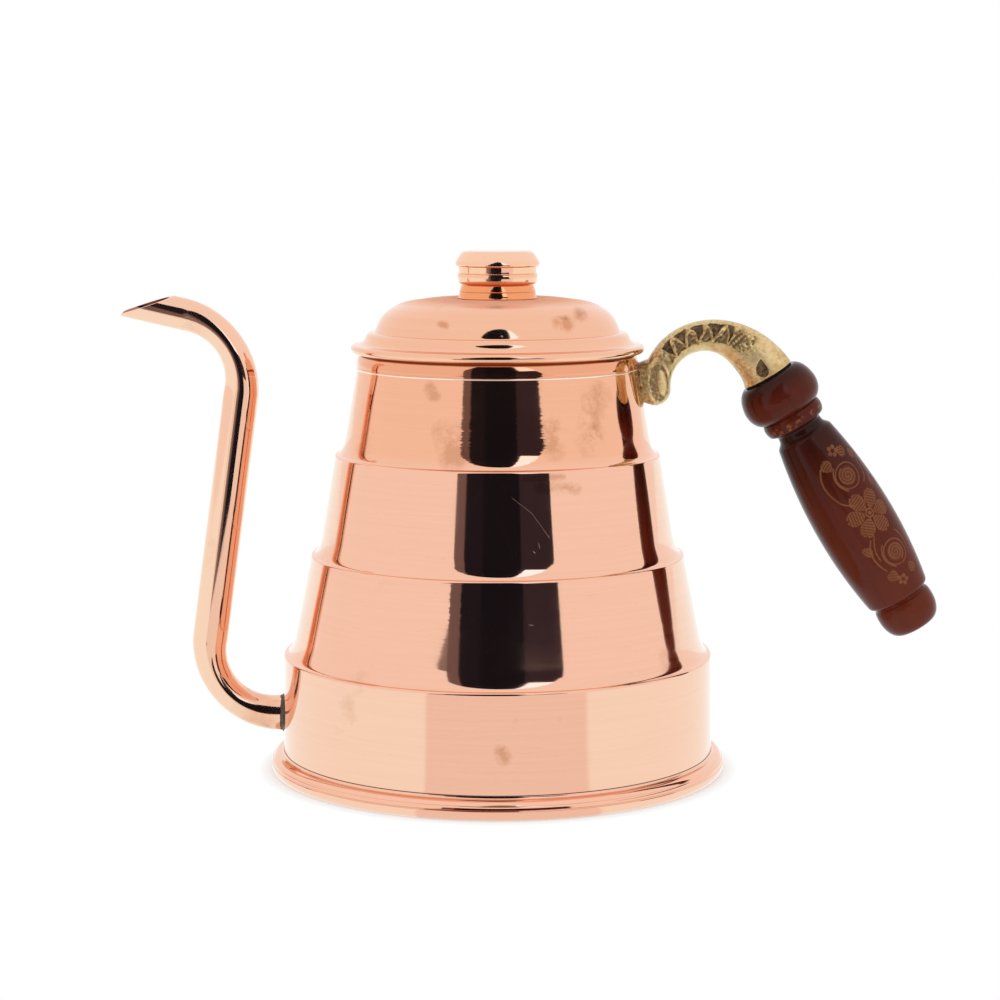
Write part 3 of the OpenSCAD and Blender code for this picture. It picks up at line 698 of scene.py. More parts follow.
SPOUT_COPPER = copper("spout copper", (0.92, 0.56, 0.40), (0.70, 0.28, 0.14), 0.58, lines=0.0)
PLAIN_COPPER = copper("fixing copper", (0.80, 0.40, 0.26), (0.55, 0.22, 0.12), 0.50)
TIN = tin("tin lining")
SOLDER = solder("dark solder")
BRASS = brass("cast brass")
STEEL = steel("plated steel")


# ---- body

def tier_r(i, z):
    """Radius of a tier's leaning wall at a height."""
    start_z = FOOT_H + i * TIER_H
    end_z = BAND_Z if i == 3 else start_z + TIER_H
    return TIER_FOOT_R[i] + (TIER_TOP_R[i] - TIER_FOOT_R[i]) * (z - start_z) / (end_z - start_z)


def wall_x(y, z):
    """X of the body's outside at a height, on the side of the bracket."""
    tier = min(int((z - FOOT_H) // TIER_H), 3)
    return sqrt(tier_r(tier, z)**2 - y * y)


def ledge(i):
    """The rounded top edge of a tier and the hollow curve into the next tier's leaning wall."""
    edge_x = TIER_TOP_R[i] - LEDGE_EDGE_R
    z = FOOT_H + (i + 1) * TIER_H
    wall_z = z + LEDGE_RISE
    corner = (tier_r(i + 1, z), z)
    edge = arc(edge_x, z - LEDGE_EDGE_R, LEDGE_EDGE_R, LEDGE_EDGE_R, 0, 80, 8)
    return edge + hollow((edge_x, z), corner, (tier_r(i + 1, wall_z), wall_z), HOLLOW_FULLNESS)


def body_shell():
    """The spun shell, from the base plate up to its thin lip, with its tinned inside."""
    wall = [(BODY_R, FOOT_H)] + ledge(0) + ledge(1) + ledge(2) + [(MOUTH_R, BAND_Z)]
    neck = [(NECK_R, BAND_Z), (NECK_R, LIP_Z), (NECK_R - 0.6, MOUTH_Z - 0.5)]
    outside = [(BODY_R, BASE_T)] + wall + neck + [(NECK_R - 0.8, MOUTH_Z)]
    inside = [(NECK_R - WALL, MOUTH_Z - 0.1)] + shifted(wall, -WALL, -WALL)[::-1]
    inside += [(BODY_R - WALL, BASE_T)]
    piece = turned("body_copper", outside, "kettle", [BODY_COPPER, TIN], inside, FINE_TURNS)
    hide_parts("body_shell")


def mouth_band():
    """The doubled band, with a bead at its foot and a rolled top that tucks in behind the lip."""
    outline = [(NECK_R, BAND_Z + 0.1), (MOUTH_R - 0.1, BAND_Z)]
    outline += arc(MOUTH_R, BAND_Z + BAND_BEAD, BAND_BEAD, BAND_BEAD, -90, 70, 8)
    outline += arc(MOUTH_R - BAND_ROLL, MOUTH_Z - 4.3, BAND_ROLL, BAND_ROLL_RISE, 0, 64, 24)
    outline += shifted([(-0.75, -0.05), (-0.85, -0.3)], NECK_R, MOUTH_Z) + [(NECK_R - 0.02, LIP_Z)]
    piece = turned("mouth_band_copper", outline, "kettle", [BODY_COPPER], turns=FINE_TURNS)
    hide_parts("mouth_band")


def shoulder_r(z):
    """Radius of the foot ring above its bulge."""
    up = (z - BULGE_Z) / (FOOT_H - BULGE_Z)
    return FOOT_R - SHOULDER_W * (1 - sqrt(1 - up * up))


def foot_ring():
    """The seam ring, with two fine grooves in its shoulder and a fillet up the wall."""
    wall = [(shoulder_r(z), z) for z in np.linspace(BULGE_Z + 0.4, FOOT_H - 0.02, 26)]
    wall = [(r, z) for r, z in wall if all(abs(z - low) > 2 * GROOVE for low in GROOVE_Z)]
    for groove in GROOVE_Z:
        for lift, inwards in ((-1.2, 0.0), (-0.5, 0.9), (0.5, 0.9), (1.2, 0.0)):
            z = groove + lift * GROOVE
            wall.append((shoulder_r(z) - inwards * GROOVE, z))
    wall.sort(key=lambda point: point[1])
    outline = [(BODY_R, 0.0)] + arc(FOOT_R - TOE_W, BULGE_Z, TOE_W, BULGE_Z, -90, 0, 8) + wall
    fillet = curve((0.95, 0.0), (0.10, 0.02), (0.03, 1.05), 10) + [(0.0, 1.05)]
    outline += shifted(fillet, BODY_R, FOOT_H)
    piece = turned("foot_ring_copper", outline, "kettle", [BODY_COPPER], turns=FINE_TURNS)
    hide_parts("foot_ring")


# ---- lid and knob

def lid_top():
    """The lid's outline from its flange over the step and the dome to the knob."""
    corner_x = DOME_R * (1 - CORNER_SHARE)
    crown_z = LID_TOP_Z + CROWN_LIP
    step = arc(STEP_R - STEP_ROUND, STEP_WAIST_Z, STEP_ROUND, STEP_Z - STEP_WAIST_Z, 16, 84, 16)
    shoulder = arc(corner_x, STEP_Z, DOME_R * CORNER_SHARE, DOME_H - CROWN_RISE, 25, 84, 36)
    foot = shifted([(0.77, -0.02), (0.62, 0.12), (0.57, 0.22), (-0.46, 2.9)], DOME_R, STEP_Z)
    flange = (LID_R - RIM_H / 2 + 0.1, FLANGE_Z)
    top = curve(flange, (STEP_R + 0.5, FLANGE_Z + 0.1), step[0], 12) + step[1:]
    top += foot[:2] + curve(foot[2], foot[3], shoulder[0], 14) + shoulder[1:]
    top += curve(top[-1], (21.0, crown_z), (CROWN_R, crown_z), 10)[1:]
    return top + curve((CROWN_R, crown_z), (15.5, crown_z), (KNOB_FOOT_R, LID_TOP_Z), 8)[1:]


def lid_shell():
    """The domed sheet, with its edge rolled round the wire and its tinned underside."""
    rim = RIM_H / 2
    top = lid_top()
    outside = [(SKIRT_OUT_R, MOUTH_Z)] + arc(LID_R - rim, MOUTH_Z + rim, rim, rim, -90, 90, 24)
    outside += top + [(LID_HOLE_R, LID_TOP_Z)]
    under = [(x, z) for x, z in shifted(top, -LID_T, -LID_T) if x < SKIRT_OUT_R]
    inside = [(LID_HOLE_R - 0.2, LID_TOP_Z - LID_T)] + under[::-1]
    inside += [(SKIRT_OUT_R, FLANGE_Z - LID_T)]
    piece = turned("lid_copper", outside, "lid", [LID_COPPER, TIN], inside, FINE_TURNS)
    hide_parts("lid_shell")


def lid_skirt():
    low, high = MOUTH_Z - SKIRT_H, FLANGE_Z - LID_T
    in_r, edge = SKIRT_OUT_R - SKIRT_T, SKIRT_EDGE
    outline = [(in_r + edge, low), (SKIRT_OUT_R - edge, low)]
    outline += arc(SKIRT_OUT_R - edge, low + edge, edge, edge, -60, 0, 4)
    outline += [(SKIRT_OUT_R, high), (in_r, high)]
    outline += arc(in_r + edge, low + edge, edge, edge, 180, 240, 4)
    piece = turned("lid_skirt_tin", outline, "lid", [TIN])
    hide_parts("lid_skirt")


def knob_neck():
    """The knob's foot, with two fine beads under a waist."""
    line = [(-0.05, 0.0)] + bead(0.0, 0.3, 0.16)
    line += curve((0.0, 0.5), (-0.1, 1.6), (-0.3, 2.3), 6) + bead(-0.35, 2.5, 0.15)
    seam = (KNOB_NECK_R - KNOB_FOOT_R, KNOB_NECK_H - 0.05)
    line += curve((-0.35, 2.7), (-0.58, 3.75), seam, 14)
    inside = [(KNOB_NECK_R - KNOB_WALL, NECK_TOP_Z), (KNOB_FOOT_R - KNOB_WALL, LID_TOP_Z)]
    outline = shifted(line, KNOB_FOOT_R, LID_TOP_Z)
    piece = turned("knob_neck_copper", outline, "lid", [NECK_COPPER], inside)
    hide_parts("knob_neck")


def knob_cap():
    """The knob's top: a waist with a fine bead, a rounded brim and a crowned top."""
    waist = [(-1.6, 0.0), (-0.35, 0.05)] + curve((-0.1, 0.35), (0.35, 1.9), (0.05, 3.1), 12)
    waist += bead(0.02, 3.3, 0.15) + curve((-0.16, 3.5), (-0.14, 4.3), (-0.02, 5.45), 10)
    waist += [(0.05, 5.5)]
    high = KNOB_TOP_Z - BRIM_Z
    top = arc(-0.50, 0.50, 0.45, 0.52, -75, -8, 8)
    top += curve((-0.04, 0.55), (0.02, 1.5), (-1.75, 4.0), 20)
    top += curve((-1.75, 4.0), (-2.4, high - 0.05), (-4.6, high), 14)[1:] + [(-KNOB_R, high)]
    under = [(-KNOB_R, high - KNOB_WALL), (-4.6, high - KNOB_WALL), (-2.9, 3.8)]
    inside = shifted(under, KNOB_R, BRIM_Z) + [(WAIST_R - 0.9, BRIM_Z + 0.8)]
    inside += shifted([(-0.6, 3.3), (-0.6, 0.0)], KNOB_NECK_R, NECK_TOP_Z)
    outline = shifted(waist, WAIST_R, NECK_TOP_Z) + shifted(top, KNOB_R, BRIM_Z)
    piece = turned("knob_cap_copper", outline, "lid", [KNOB_COPPER], inside)
    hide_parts("knob_cap")


# ---- spout

def polar(centre, angle, radius):
    """A point round a centre, with its angle in degrees."""
    a = radians(angle)
    return np.array([centre[0] + radius * cos(a), centre[1] + radius * sin(a)])


def direction(angle):
    return polar((0.0, 0.0), angle, 1.0)


SPOUT_WALL_X = -tier_r(0, SPOUT_Z)
LOWER_CENTRE = np.array([SPOUT_WALL_X - SPOUT_STUB, SPOUT_Z + LOWER_BEND_R])
RISER_FOOT = polar(LOWER_CENTRE, 180 - RISER_LEAN, LOWER_BEND_R)
RISER_TOP = RISER_FOOT + RISER_LEN * direction(90 - RISER_LEAN)
UPPER_CENTRE = polar(RISER_TOP, 180 - RISER_LEAN, UPPER_BEND_R)
TIP_DIR = direction(180 - TIP_RISE)
TIP_ROOT = polar(UPPER_CENTRE, 90 - TIP_RISE, UPPER_BEND_R)
TIP_POINT = TIP_ROOT + TIP_LEN * TIP_DIR - SPOUT_TIP_R * np.array([TIP_DIR[1], -TIP_DIR[0]])


def spout_stations():
    """Stations from the wall to the tip's root: centre, heading in degrees, radius and share of
    height lost."""
    starts = (SPOUT_WALL_X + WALL + SPOUT_INNER, SPOUT_WALL_X, SPOUT_WALL_X - SPOUT_STUB / 2)
    stations = [((x, SPOUT_Z), 180.0, SPOUT_R, 0.0) for x in starts]
    for t in np.linspace(0, 1, 41):
        a = mix(270, 180 - RISER_LEAN, t)
        flat = BEND_FLAT * sin(pi * t)
        stations.append((polar(LOWER_CENTRE, a, LOWER_BEND_R), a - 90, SPOUT_R, flat))
    for t in np.linspace(0, 1, 13)[1:-1]:
        stations.append((mix(RISER_FOOT, RISER_TOP, t), 90 - RISER_LEAN, SPOUT_R, 0.0))
    for t in np.linspace(0, 1, 49):
        a = mix(-RISER_LEAN, 90 - TIP_RISE, t)
        flat = BEND_FLAT * sin(pi * t)
        radius = mix(SPOUT_R, SPOUT_TIP_R, t)
        stations.append((polar(UPPER_CENTRE, a, UPPER_BEND_R), a + 90, radius, flat))
    return stations


def tube_ring(station, inset, sides):
    """The tube's section at a station. A flattened one is a little wider across the bend."""
    centre, heading, radius, flat = station
    k = around(sides)
    side = direction(heading + 90)
    in_plane = (radius * (1 - flat) - inset) * np.cos(k)
    across = (radius * (1 + flat / 2) - inset) * np.sin(k)
    return np.stack([centre[0] + in_plane * side[0], across, centre[1] + in_plane * side[1]], -1)


def cut_ring(ring, share):
    """Moves a ring at the root of the tip towards the plane that cuts the tip open."""
    slope = tan(radians(TIP_CUT))
    x, y, z = ring.T
    rise = TIP_POINT[1] + TIP_LIP + CUT_TURN * y - z + (x - TIP_POINT[0]) * slope
    travel = np.minimum(rise / (TIP_DIR[1] - TIP_DIR[0] * slope), TIP_LEN)
    return np.stack([x + share * travel * TIP_DIR[0], y, z + share * travel * TIP_DIR[1]], -1)


def spout():
    """The bent tube with its bore, cut open obliquely at the tip."""
    sides = 96
    stations = spout_stations()
    shares = np.linspace(0, 1, 17)[1:]
    walls = []
    for inset in (0.0, SPOUT_WALL):
        rings = [tube_ring(station, inset, sides) for station in stations]
        walls.append(rings + [cut_ring(rings[-1], share) for share in shares])
    outer, inner = walls
    lip = mix(outer[-1], inner[-1], 0.5) + 0.12 * np.array([TIP_DIR[0], 0, TIP_DIR[1]])
    piece = finished(
        "spout_copper", outer + [lip] + inner[::-1], "kettle",
        [SPOUT_COPPER, BORE_COPPER], sharp=50, lined_from=len(outer),
    )
    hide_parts("spout_tube")


def solder_fillet():
    """Uneven fillet of solder between the tube and the wall."""
    sides = 120
    rings = []
    for u in np.linspace(0, 1, 11):
        ring = []
        for k in around(sides):
            lump = 1 + 0.16 * sin(3 * k + 1) + 0.10 * sin(7 * k + 2) + 0.06 * sin(16 * k)
            reach = SPOUT_R + 0.02 + SOLDER_W * lump * u**1.6
            y, z = reach * sin(k), SPOUT_Z + reach * cos(k)
            stand = SOLDER_W * min(lump, 1.05) * (1 - u)**1.8
            ring.append((-wall_x(y, z) - stand, y, z))
        rings.append(ring)
    back = [(x + SOLDER_W * 0.2, y, z) for x, y, z in rings[-1]]
    hole = [(SPOUT_R * sin(k), SPOUT_Z + SPOUT_R * cos(k)) for k in around(sides)]
    bore = [(-wall_x(y, SPOUT_Z), y, z) for y, z in hole]
    rings = [bore, back] + rings[::-1]
    piece = finished("spout_solder_fillet", rings, "kettle", [SOLDER])
    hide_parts("spout_solder")


# ---- bracket

FOOT_X = tier_r(3, BRACKET_Z)
ARCH_CENTRE = np.array([FOOT_X + 21.0, BRACKET_Z - 1.0])
LOBE_CENTRE = ARCH_CENTRE - np.array([ARCH_R + LOBE_R, LOBE_DROP])
GRIP_TOP = np.array([FOOT_X + GRIP_REACH, BRACKET_Z + GRIP_LIFT])
GRIP_ACROSS = direction(GRIP_LEAN)
SOCKET_OUT = GRIP_TOP + SOCKET_R * GRIP_ACROSS - ARCH_CENTRE
SOCKET_IN = GRIP_TOP - SOCKET_R * GRIP_ACROSS - ARCH_CENTRE
ARM_STEPS = 420
PAD_STEPS = 26
PAD_REACH = 21.9
PAD_LOW = (46.4, 121.3)


def arch_way(t, start):
    """Turns the way along the arm, where the lobe takes its share, into the way along the arch."""
    if t < LOBE_SHARE:
        return start * t / LOBE_SHARE
    return start + (1 - start) * (t - LOBE_SHARE) / (1 - LOBE_SHARE)


def angle_of(v):
    return degrees(atan2(v[1], v[0]))


def arm_outer(t):
    """A point of the arm's upper line, from the foot at t = 0 to the socket at t = 1."""
    u = arch_way(t, 0.07)
    radius = mix(ARCH_R + ARM_T, np.linalg.norm(SOCKET_OUT), u**3)
    return polar(ARCH_CENTRE, mix(155, angle_of(SOCKET_OUT), u), radius)


def arm_inner(t):
    """A point of the arm's lower line, which runs round the lobe first."""
    if t < LOBE_SHARE:
        return polar(LOBE_CENTRE, mix(-105, 0, t / LOBE_SHARE), LOBE_R)
    u = arch_way(t, 0.0)
    swell = sin(pi * u**3)**2
    start = 180 + degrees(asin(LOBE_DROP / ARCH_R))
    radius = mix(ARCH_R, np.linalg.norm(SOCKET_IN), u**5) - swell
    return polar(ARCH_CENTRE, mix(start, angle_of(SOCKET_IN), u), radius)


def arm_half_width(t):
    crown = ARM_CROWN_W / 2
    return crown + (SOCKET_R - crown) * t**3 + (ARM_FOOT_W / 2 - crown) * (1 - t)**3


def pad_ends(q):
    """Upper and lower ends of a section between the wall, at q = 0, and the arm, at q = 1."""
    start = arm_outer(0.0) - ARCH_CENTRE
    reach = mix(PAD_REACH, np.linalg.norm(start), q)
    top = polar(ARCH_CENTRE, mix(161.5, angle_of(start), q), reach)
    return top, mix(PAD_LOW, arm_inner(0.0), smooth(-0.25, 1.0, q))


def rounded(value, power):
    """Turns a circle's sine or cosine into that of a squarer outline."""
    return np.sign(value) * np.abs(value) ** (2 / power)


def ellipse(x, z, cx, cz, half_w, half_h, lean):
    """1 on an ellipse's edge, less inside it. Its long axis leans towards +X by some degrees."""
    a = radians(lean)
    u = (x - cx) * cos(a) - (z - cz) * sin(a)
    v = (x - cx) * sin(a) + (z - cz) * cos(a)
    return np.sqrt((u / half_w)**2 + (v / half_h)**2)


# Relief: places in the plane of the arm, panel edges as shares of the arm's half height, and
# angles round the arch's centre
PANEL_LOW, PANEL_HIGH = -0.36, 0.80
PANEL_DEPTH = 0.85
RIB_PITCH = 17.7
RIB_AT = 90.5
RIBS_FROM = 62
CORD_FROM = 40
TAIL_FROM = 46
CORD_BED = (77.2, 141.1, 1.3, 3.0, 48)
CORD_ENDS = ((75.2, 139.3), (79.2, 142.9))
CORD_PITS = (73, 86, 132, 146)
DROP_X = 85.1
DROP_Z = 132.3
DROP_FROM_Z = 129.2
DROP_LEN = 6.1
FOOT_OVAL = (52.0, 127.4, 3.4, 6.9, -6)
FOOT_BOSS = (53.1, 127.2, 1.6, 4.4, -8)
OVAL_PITS = (48.8, 51.2, 122.0, 131.5)
FLANGE_PITS = (46.4, 48.8, 121.5, 131.0)


def zigzag(theta, across):
    """Depth of the ribbed panel: deep triangles against the outer border and shallower ones
    against the inner border, parted by raised ribs that zigzag between the borders."""
    phase = ((theta - RIB_AT) / RIB_PITCH + 0.5) % 1.0
    off = across - mix(PANEL_LOW, PANEL_HIGH, 1 - np.abs(2 * phase - 1))
    rib = 1 - smooth(0.10, 0.32, np.abs(off))
    return PANEL_DEPTH * np.where(off > 0, 1.0, 0.6) * (1 - 0.92 * rib)


def pits(x, z, rng, count, box, low, high):
    """Small round pits at random places in a box."""
    depth = np.zeros_like(x)
    for _ in range(count):
        cx, cz = rng.uniform(box[0], box[1]), rng.uniform(box[2], box[3])
        radius = rng.uniform(low, high)
        near = np.hypot(x - cx, z - cz) / radius
        depth = np.maximum(depth, 0.6 * radius * (1 - smooth(0.3, 1.1, near)))
    return depth


def lumps(x, z, rng, pitch):
    """Gentle uneven waves about a pitch apart, roughly from -1 to 1."""
    total = np.zeros_like(x)
    for _ in range(9):
        a, k = rng.uniform(0, 2 * pi), 2 * pi / (pitch * rng.uniform(0.7, 1.5))
        total += np.sin(k * (x * cos(a) + z * sin(a)) + rng.uniform(0, 2 * pi))
    return total / 3.0


def inside_panel(across):
    low = smooth(PANEL_LOW - 0.06, PANEL_LOW + 0.04, across)
    return low * (1 - smooth(PANEL_HIGH - 0.04, PANEL_HIGH + 0.06, across))


def cord_relief(x, z, depth):
    """A slanting row of raised beads in a sunken bed."""
    bed = ellipse(x, z, *CORD_BED)
    depth = np.maximum(depth, 0.55 * (1 - smooth(0.9, 1.3, bed)))
    for share in np.linspace(0, 1, 6):
        cx, cz = mix(*CORD_ENDS, share)
        raised = 1 - smooth(0.2, 0.62, np.hypot(x - cx, z - cz))
        depth = mix(depth, -0.10, raised)
    return depth


def teardrop_relief(x, z):
    """A sunken teardrop near the socket."""
    up = np.clip((z - DROP_FROM_Z) / DROP_LEN, 0, 1)
    half = 2.15 * np.sin(pi * up**0.62)**0.8
    away = np.abs(x - DROP_X + 0.15 * (z - DROP_Z)) - half
    return 0.8 * (1 - smooth(-0.55, 0.15, away)) * (half > 0.05)


def foot_relief(x, z, depth, rng):
    """The foot's raised oval ring, with a groove and a polished boss inside it and a pitted channel
    outside it. Returns the depth and how polished it is."""
    ring, boss = ellipse(x, z, *FOOT_OVAL), ellipse(x, z, *FOOT_BOSS)
    lobe = np.where(ring < 1, 0.42 * smooth(0.97, 0.80, ring), 0.0)
    pitted = pits(x, z, rng, 14, OVAL_PITS, 0.3, 0.6)
    lobe = np.maximum(lobe, pitted * (ring < 0.95) * (boss > 1.1))
    ridge = 1 - smooth(0.02, 0.17, np.abs(ring - 1.04))
    lobe = mix(lobe, -0.12, ridge)
    channel = smooth(1.14, 1.24, ring) * (1 - smooth(1.42, 1.62, ring))
    channel = channel * (1 - smooth(50.0, 51.5, x))
    lobe = np.maximum(lobe, 0.12 * channel * (1 - ridge))
    lobe = np.maximum(lobe, pits(x, z, rng, 16, FLANGE_PITS, 0.35, 0.9) * (ring > 1.15))
    dome = np.sqrt(np.clip(1 - boss**2, 0, 1))
    lobe = np.where(boss < 1, 0.42 - 0.62 * dome, lobe)
    at_foot = (x < 57.5) * (ring < 1.75) * (1 - smooth(1.5, 1.75, ring))
    return mix(depth, lobe, at_foot), np.maximum((boss < 1) * 1.0, 0.9 * ridge)


def bracket_relief(x, z, across):
    """Depth below the bracket's smooth side, and how polished it is, at places on that side."""
    rng = np.random.default_rng(SEED)
    theta = np.degrees(np.arctan2(z - ARCH_CENTRE[1], x - ARCH_CENTRE[0]))
    theta = np.where(theta < -90, theta + 360, theta)
    theta = theta + 1.3 * lumps(x, z, rng, 5.0)
    across = across + 0.045 * lumps(x, z, rng, 3.5)
    panel = inside_panel(across)
    ribbed = smooth(RIBS_FROM, RIBS_FROM + 3, theta)
    depth = panel * ribbed * (1 - smooth(150, 156, theta)) * zigzag(theta, across)
    hammered = smooth(20, 42, theta) * (0.035 + 0.05 * panel)
    depth = depth + hammered * lumps(x, z, rng, 1.3)
    rough = smooth(CORD_FROM, CORD_FROM + 5, theta) * (1 - ribbed) * panel
    depth = np.maximum(depth, rough * (0.16 + pits(x, z, rng, 150, CORD_PITS, 0.30, 0.70)))
    depth = np.where(rough > 0.02, cord_relief(x, z, depth), depth)
    depth = np.maximum(depth, teardrop_relief(x, z))
    depth, polish = foot_relief(x, z, depth, rng)
    tail = smooth(TAIL_FROM, TAIL_FROM - 8, theta) * (theta > -40)
    tail = tail * mix(0.22, 0.70, smooth(-0.75, -0.25, across))
    border = (1 - panel) * np.where(across > PANEL_HIGH, 0.48, 0.75) * (x > 56)
    polish = polish + tail + border * smooth(TAIL_FROM - 8, TAIL_FROM, theta)
    return depth, np.clip(polish, 0, 1)


def bracket():
    """The cast arm, swept as dense rings with its relief pressed into both sides. A gap parts its
    end from the grip, and the end is painted black as the shade in that gap."""
    sides = 208
    k = around(sides)
    rings, recess, polish = [], [], []
    stations = [(*pad_ends(q), 0.0, q) for q in np.linspace(0, 1, PAD_STEPS)[:-1]]
    stations += [(arm_outer(t), arm_inner(t), t, 1.0) for t in np.linspace(0, 1, ARM_STEPS)]
    for top, low, t, q in stations:
        middle, half = (top + low) / 2, (top - low) / 2
        power = mix(3.0, 2.0, t**3) if q == 1.0 else mix(3.4, 3.0, q)
        across, side = rounded(np.cos(k), power), rounded(np.sin(k), power)
        x, z = middle[0] + half[0] * across, middle[1] + half[1] * across
        depth, shine = bracket_relief(x, z, across)
        depth = depth * smooth(0.60, 0.88, np.abs(side))
        y = arm_half_width(t) * mix(0.94, 1.0, smooth(0, 1, q)) * side - np.sign(side) * depth
        wall = np.array([wall_x(b, min(c, BAND_Z)) - 0.5 for b, c in zip(y, z)])
        x = mix(wall, x, 1 - (1 - q)**2)
        rings.append(np.stack([x, y, z], -1))
        # Pad rings next to the kettle's wall get a higher recess value, which paints the brass
        # darker there as shade where it meets the wall
        recess.append(depth / PANEL_DEPTH + 0.9 * (1 - smooth(0.08, 0.26, q)))
        polish.append(shine)
    end = rings[-1]
    seat = CUP_DEPTH * np.array([GRIP_ACROSS[1], 0.0, -GRIP_ACROSS[0]])
    middle = np.repeat([end.mean(axis=0)], sides, axis=0)
    root = mix(end, middle, 0.05)
    rings += [mix(end, middle, 0.01), root + seat * 0.05, root + seat, middle + seat]
    piece = finished("bracket_brass", rings, "kettle", [BRASS], 70, closed=False)
    # The end rings are painted black, as shade in the gap before the grip
    gap = [np.zeros(sides)] + [np.full(sides, GAP_MARK)] * 3
    store(piece, {"recess": recess + gap, "polish": polish + gap})
    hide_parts("handle_bracket")


def rivets():
    """Two copper rivets with domed heads inside the body and shanks through its wall."""
    head_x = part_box("bracket_rivets")[0].x / MM + RIVET_HEAD_H
    for number, y in ((1, -RIVET_PITCH / 2), (2, RIVET_PITCH / 2)):
        tip_x = wall_x(abs(y) + RIVET_R, RIVET_Z) + 1.0
        head = arc(0.0, 0.0, RIVET_HEAD_R, RIVET_HEAD_H, -90, 0, 8) + [(RIVET_R, 0.05)]
        line = shifted(head, 0.0, head_x)
        line += [(RIVET_R, tip_x - 0.2), (RIVET_R - 0.2, tip_x), (0.0, tip_x)]
        rings = np.roll(turned_rings(line, 48), 1, axis=-1) + (0.0, y, RIVET_Z)
        piece = finished(
            f"bracket_rivet_{number}", rings, "kettle", [PLAIN_COPPER], 50,
            closed=False,
        )
        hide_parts("bracket_rivets")


# ---- grip

GROOVE_S = COLLAR_LEN + BEAD_LEN
BARREL_S = GROOVE_S + NECK_GROOVE_W
BARREL_FROM = BARREL_S + NECK_GROOVE_W
BARREL_END_S = BARREL_S + BARREL_LEN
GRIP_LEN = BARREL_END_S + END_BEAD_LEN
GRIP_TURN = Matrix.Rotation(radians(180 - GRIP_LEAN), 4, "Y")
GRIP_PLACE = Matrix.Translation((GRIP_TOP[0], 0, GRIP_TOP[1])) @ GRIP_TURN


def barrel_line(rows):
    """The barrel's swelling outline, thickest at its peak."""
    peak_s = mix(BARREL_S, BARREL_END_S, BARREL_PEAK)
    start, end = (BARREL_FROM, BARREL_TOP_R), (BARREL_END_S - 2 * EASE, BARREL_END_R)
    line = []
    for s in np.linspace(start[0], end[0], rows):
        end_s, end_r = start if s < peak_s else end
        t = (s - peak_s) / (end_s - peak_s)
        line.append((BARREL_R - (BARREL_R - end_r) * t * t, float(s)))
    return line


def grip_outline():
    """The wood's outline (radius, distance down the axis): from the bracket's cup over the collar,
    bead, groove, barrel and end bead, and back up through the nut's recess and the rod's bore."""
    cup_r, seam_r, rim_r = SOCKET_R - CUP_GAP, BEAD_R - EASE, RECESS_R + EASE
    line = [(cup_r, CUP_DEPTH), (cup_r, CUP_LIP + 0.1), (cup_r + 0.1, CUP_LIP)]
    line += [(GRIP_TOP_R + 0.1, CUP_LIP)]
    collar, flare = (COLLAR_R, COLLAR_S), (COLLAR_R - 0.5, COLLAR_S / 3)
    line += curve((GRIP_TOP_R + 0.4, CUP_LIP + 0.12), flare, collar, 22)
    below = (COLLAR_R, mix(COLLAR_S, COLLAR_LEN, 0.7))
    line += curve(collar, below, (seam_r, COLLAR_LEN), 20)[1:]
    round_bead = curve((0.0, 0.4), (2 * EASE, BEAD_LEN / 2), (-EASE, BEAD_LEN - EASE), 14)
    line += shifted([(-0.25, 0.15)] + round_bead, seam_r, COLLAR_LEN)
    line += shifted(curve((1.0, 0.0), (-0.2, 0.3), (-0.15, 1.3), 6), NECK_GROOVE_R, GROOVE_S)
    rise = [(0.05, 0.0)] + curve((0.25, 0.5), (1.0, 1.3), (1.55, 1.9), 6)
    line += shifted(rise, NECK_GROOVE_R, BARREL_S) + barrel_line(250)
    fall = curve((0.55, -0.3), (0.1, 0.3), (-1.05, 0.7), 5) + [(-1.0, 1.4)]
    fall += curve((-0.5, 1.7), (-0.05, 2.6), (0.0, 4.4), 8)
    line += shifted(fall, END_BEAD_R, BARREL_END_S)
    line += arc(rim_r, GRIP_LEN - END_ROUND, END_BEAD_R - rim_r, END_ROUND, 3, 86, 24)
    floor_s = GRIP_LEN - RECESS_LEN
    line += [(RECESS_R, GRIP_LEN), (RECESS_R, floor_s), (ROD_BORE_R, floor_s)]
    return line + [(ROD_BORE_R, CUP_DEPTH)]


def petal(s, w, cs, cw, lean, length, width):
    """A heart-shaped petal that starts at a place and points along a direction in degrees. Returns
    its filled area, its outline and the distance along it."""
    a = radians(lean)
    u = ((s - cs) * cos(a) + (w - cw) * sin(a)) / length
    v = (-(s - cs) * sin(a) + (w - cw) * cos(a)) / width
    edge = np.sin(pi * np.clip(u, 0, 1)**1.25)**0.62
    end = 1 - 0.13 * (1 - smooth(0.0, 0.34, np.abs(v)))
    inside = (u > 0) * (u < end) * (np.abs(v) < edge)
    away = np.minimum((edge - np.abs(v)) * width, (end - u) * length)
    outline = inside * (1 - smooth(0.14, 0.38, away))
    return inside.astype(float), outline, u * length


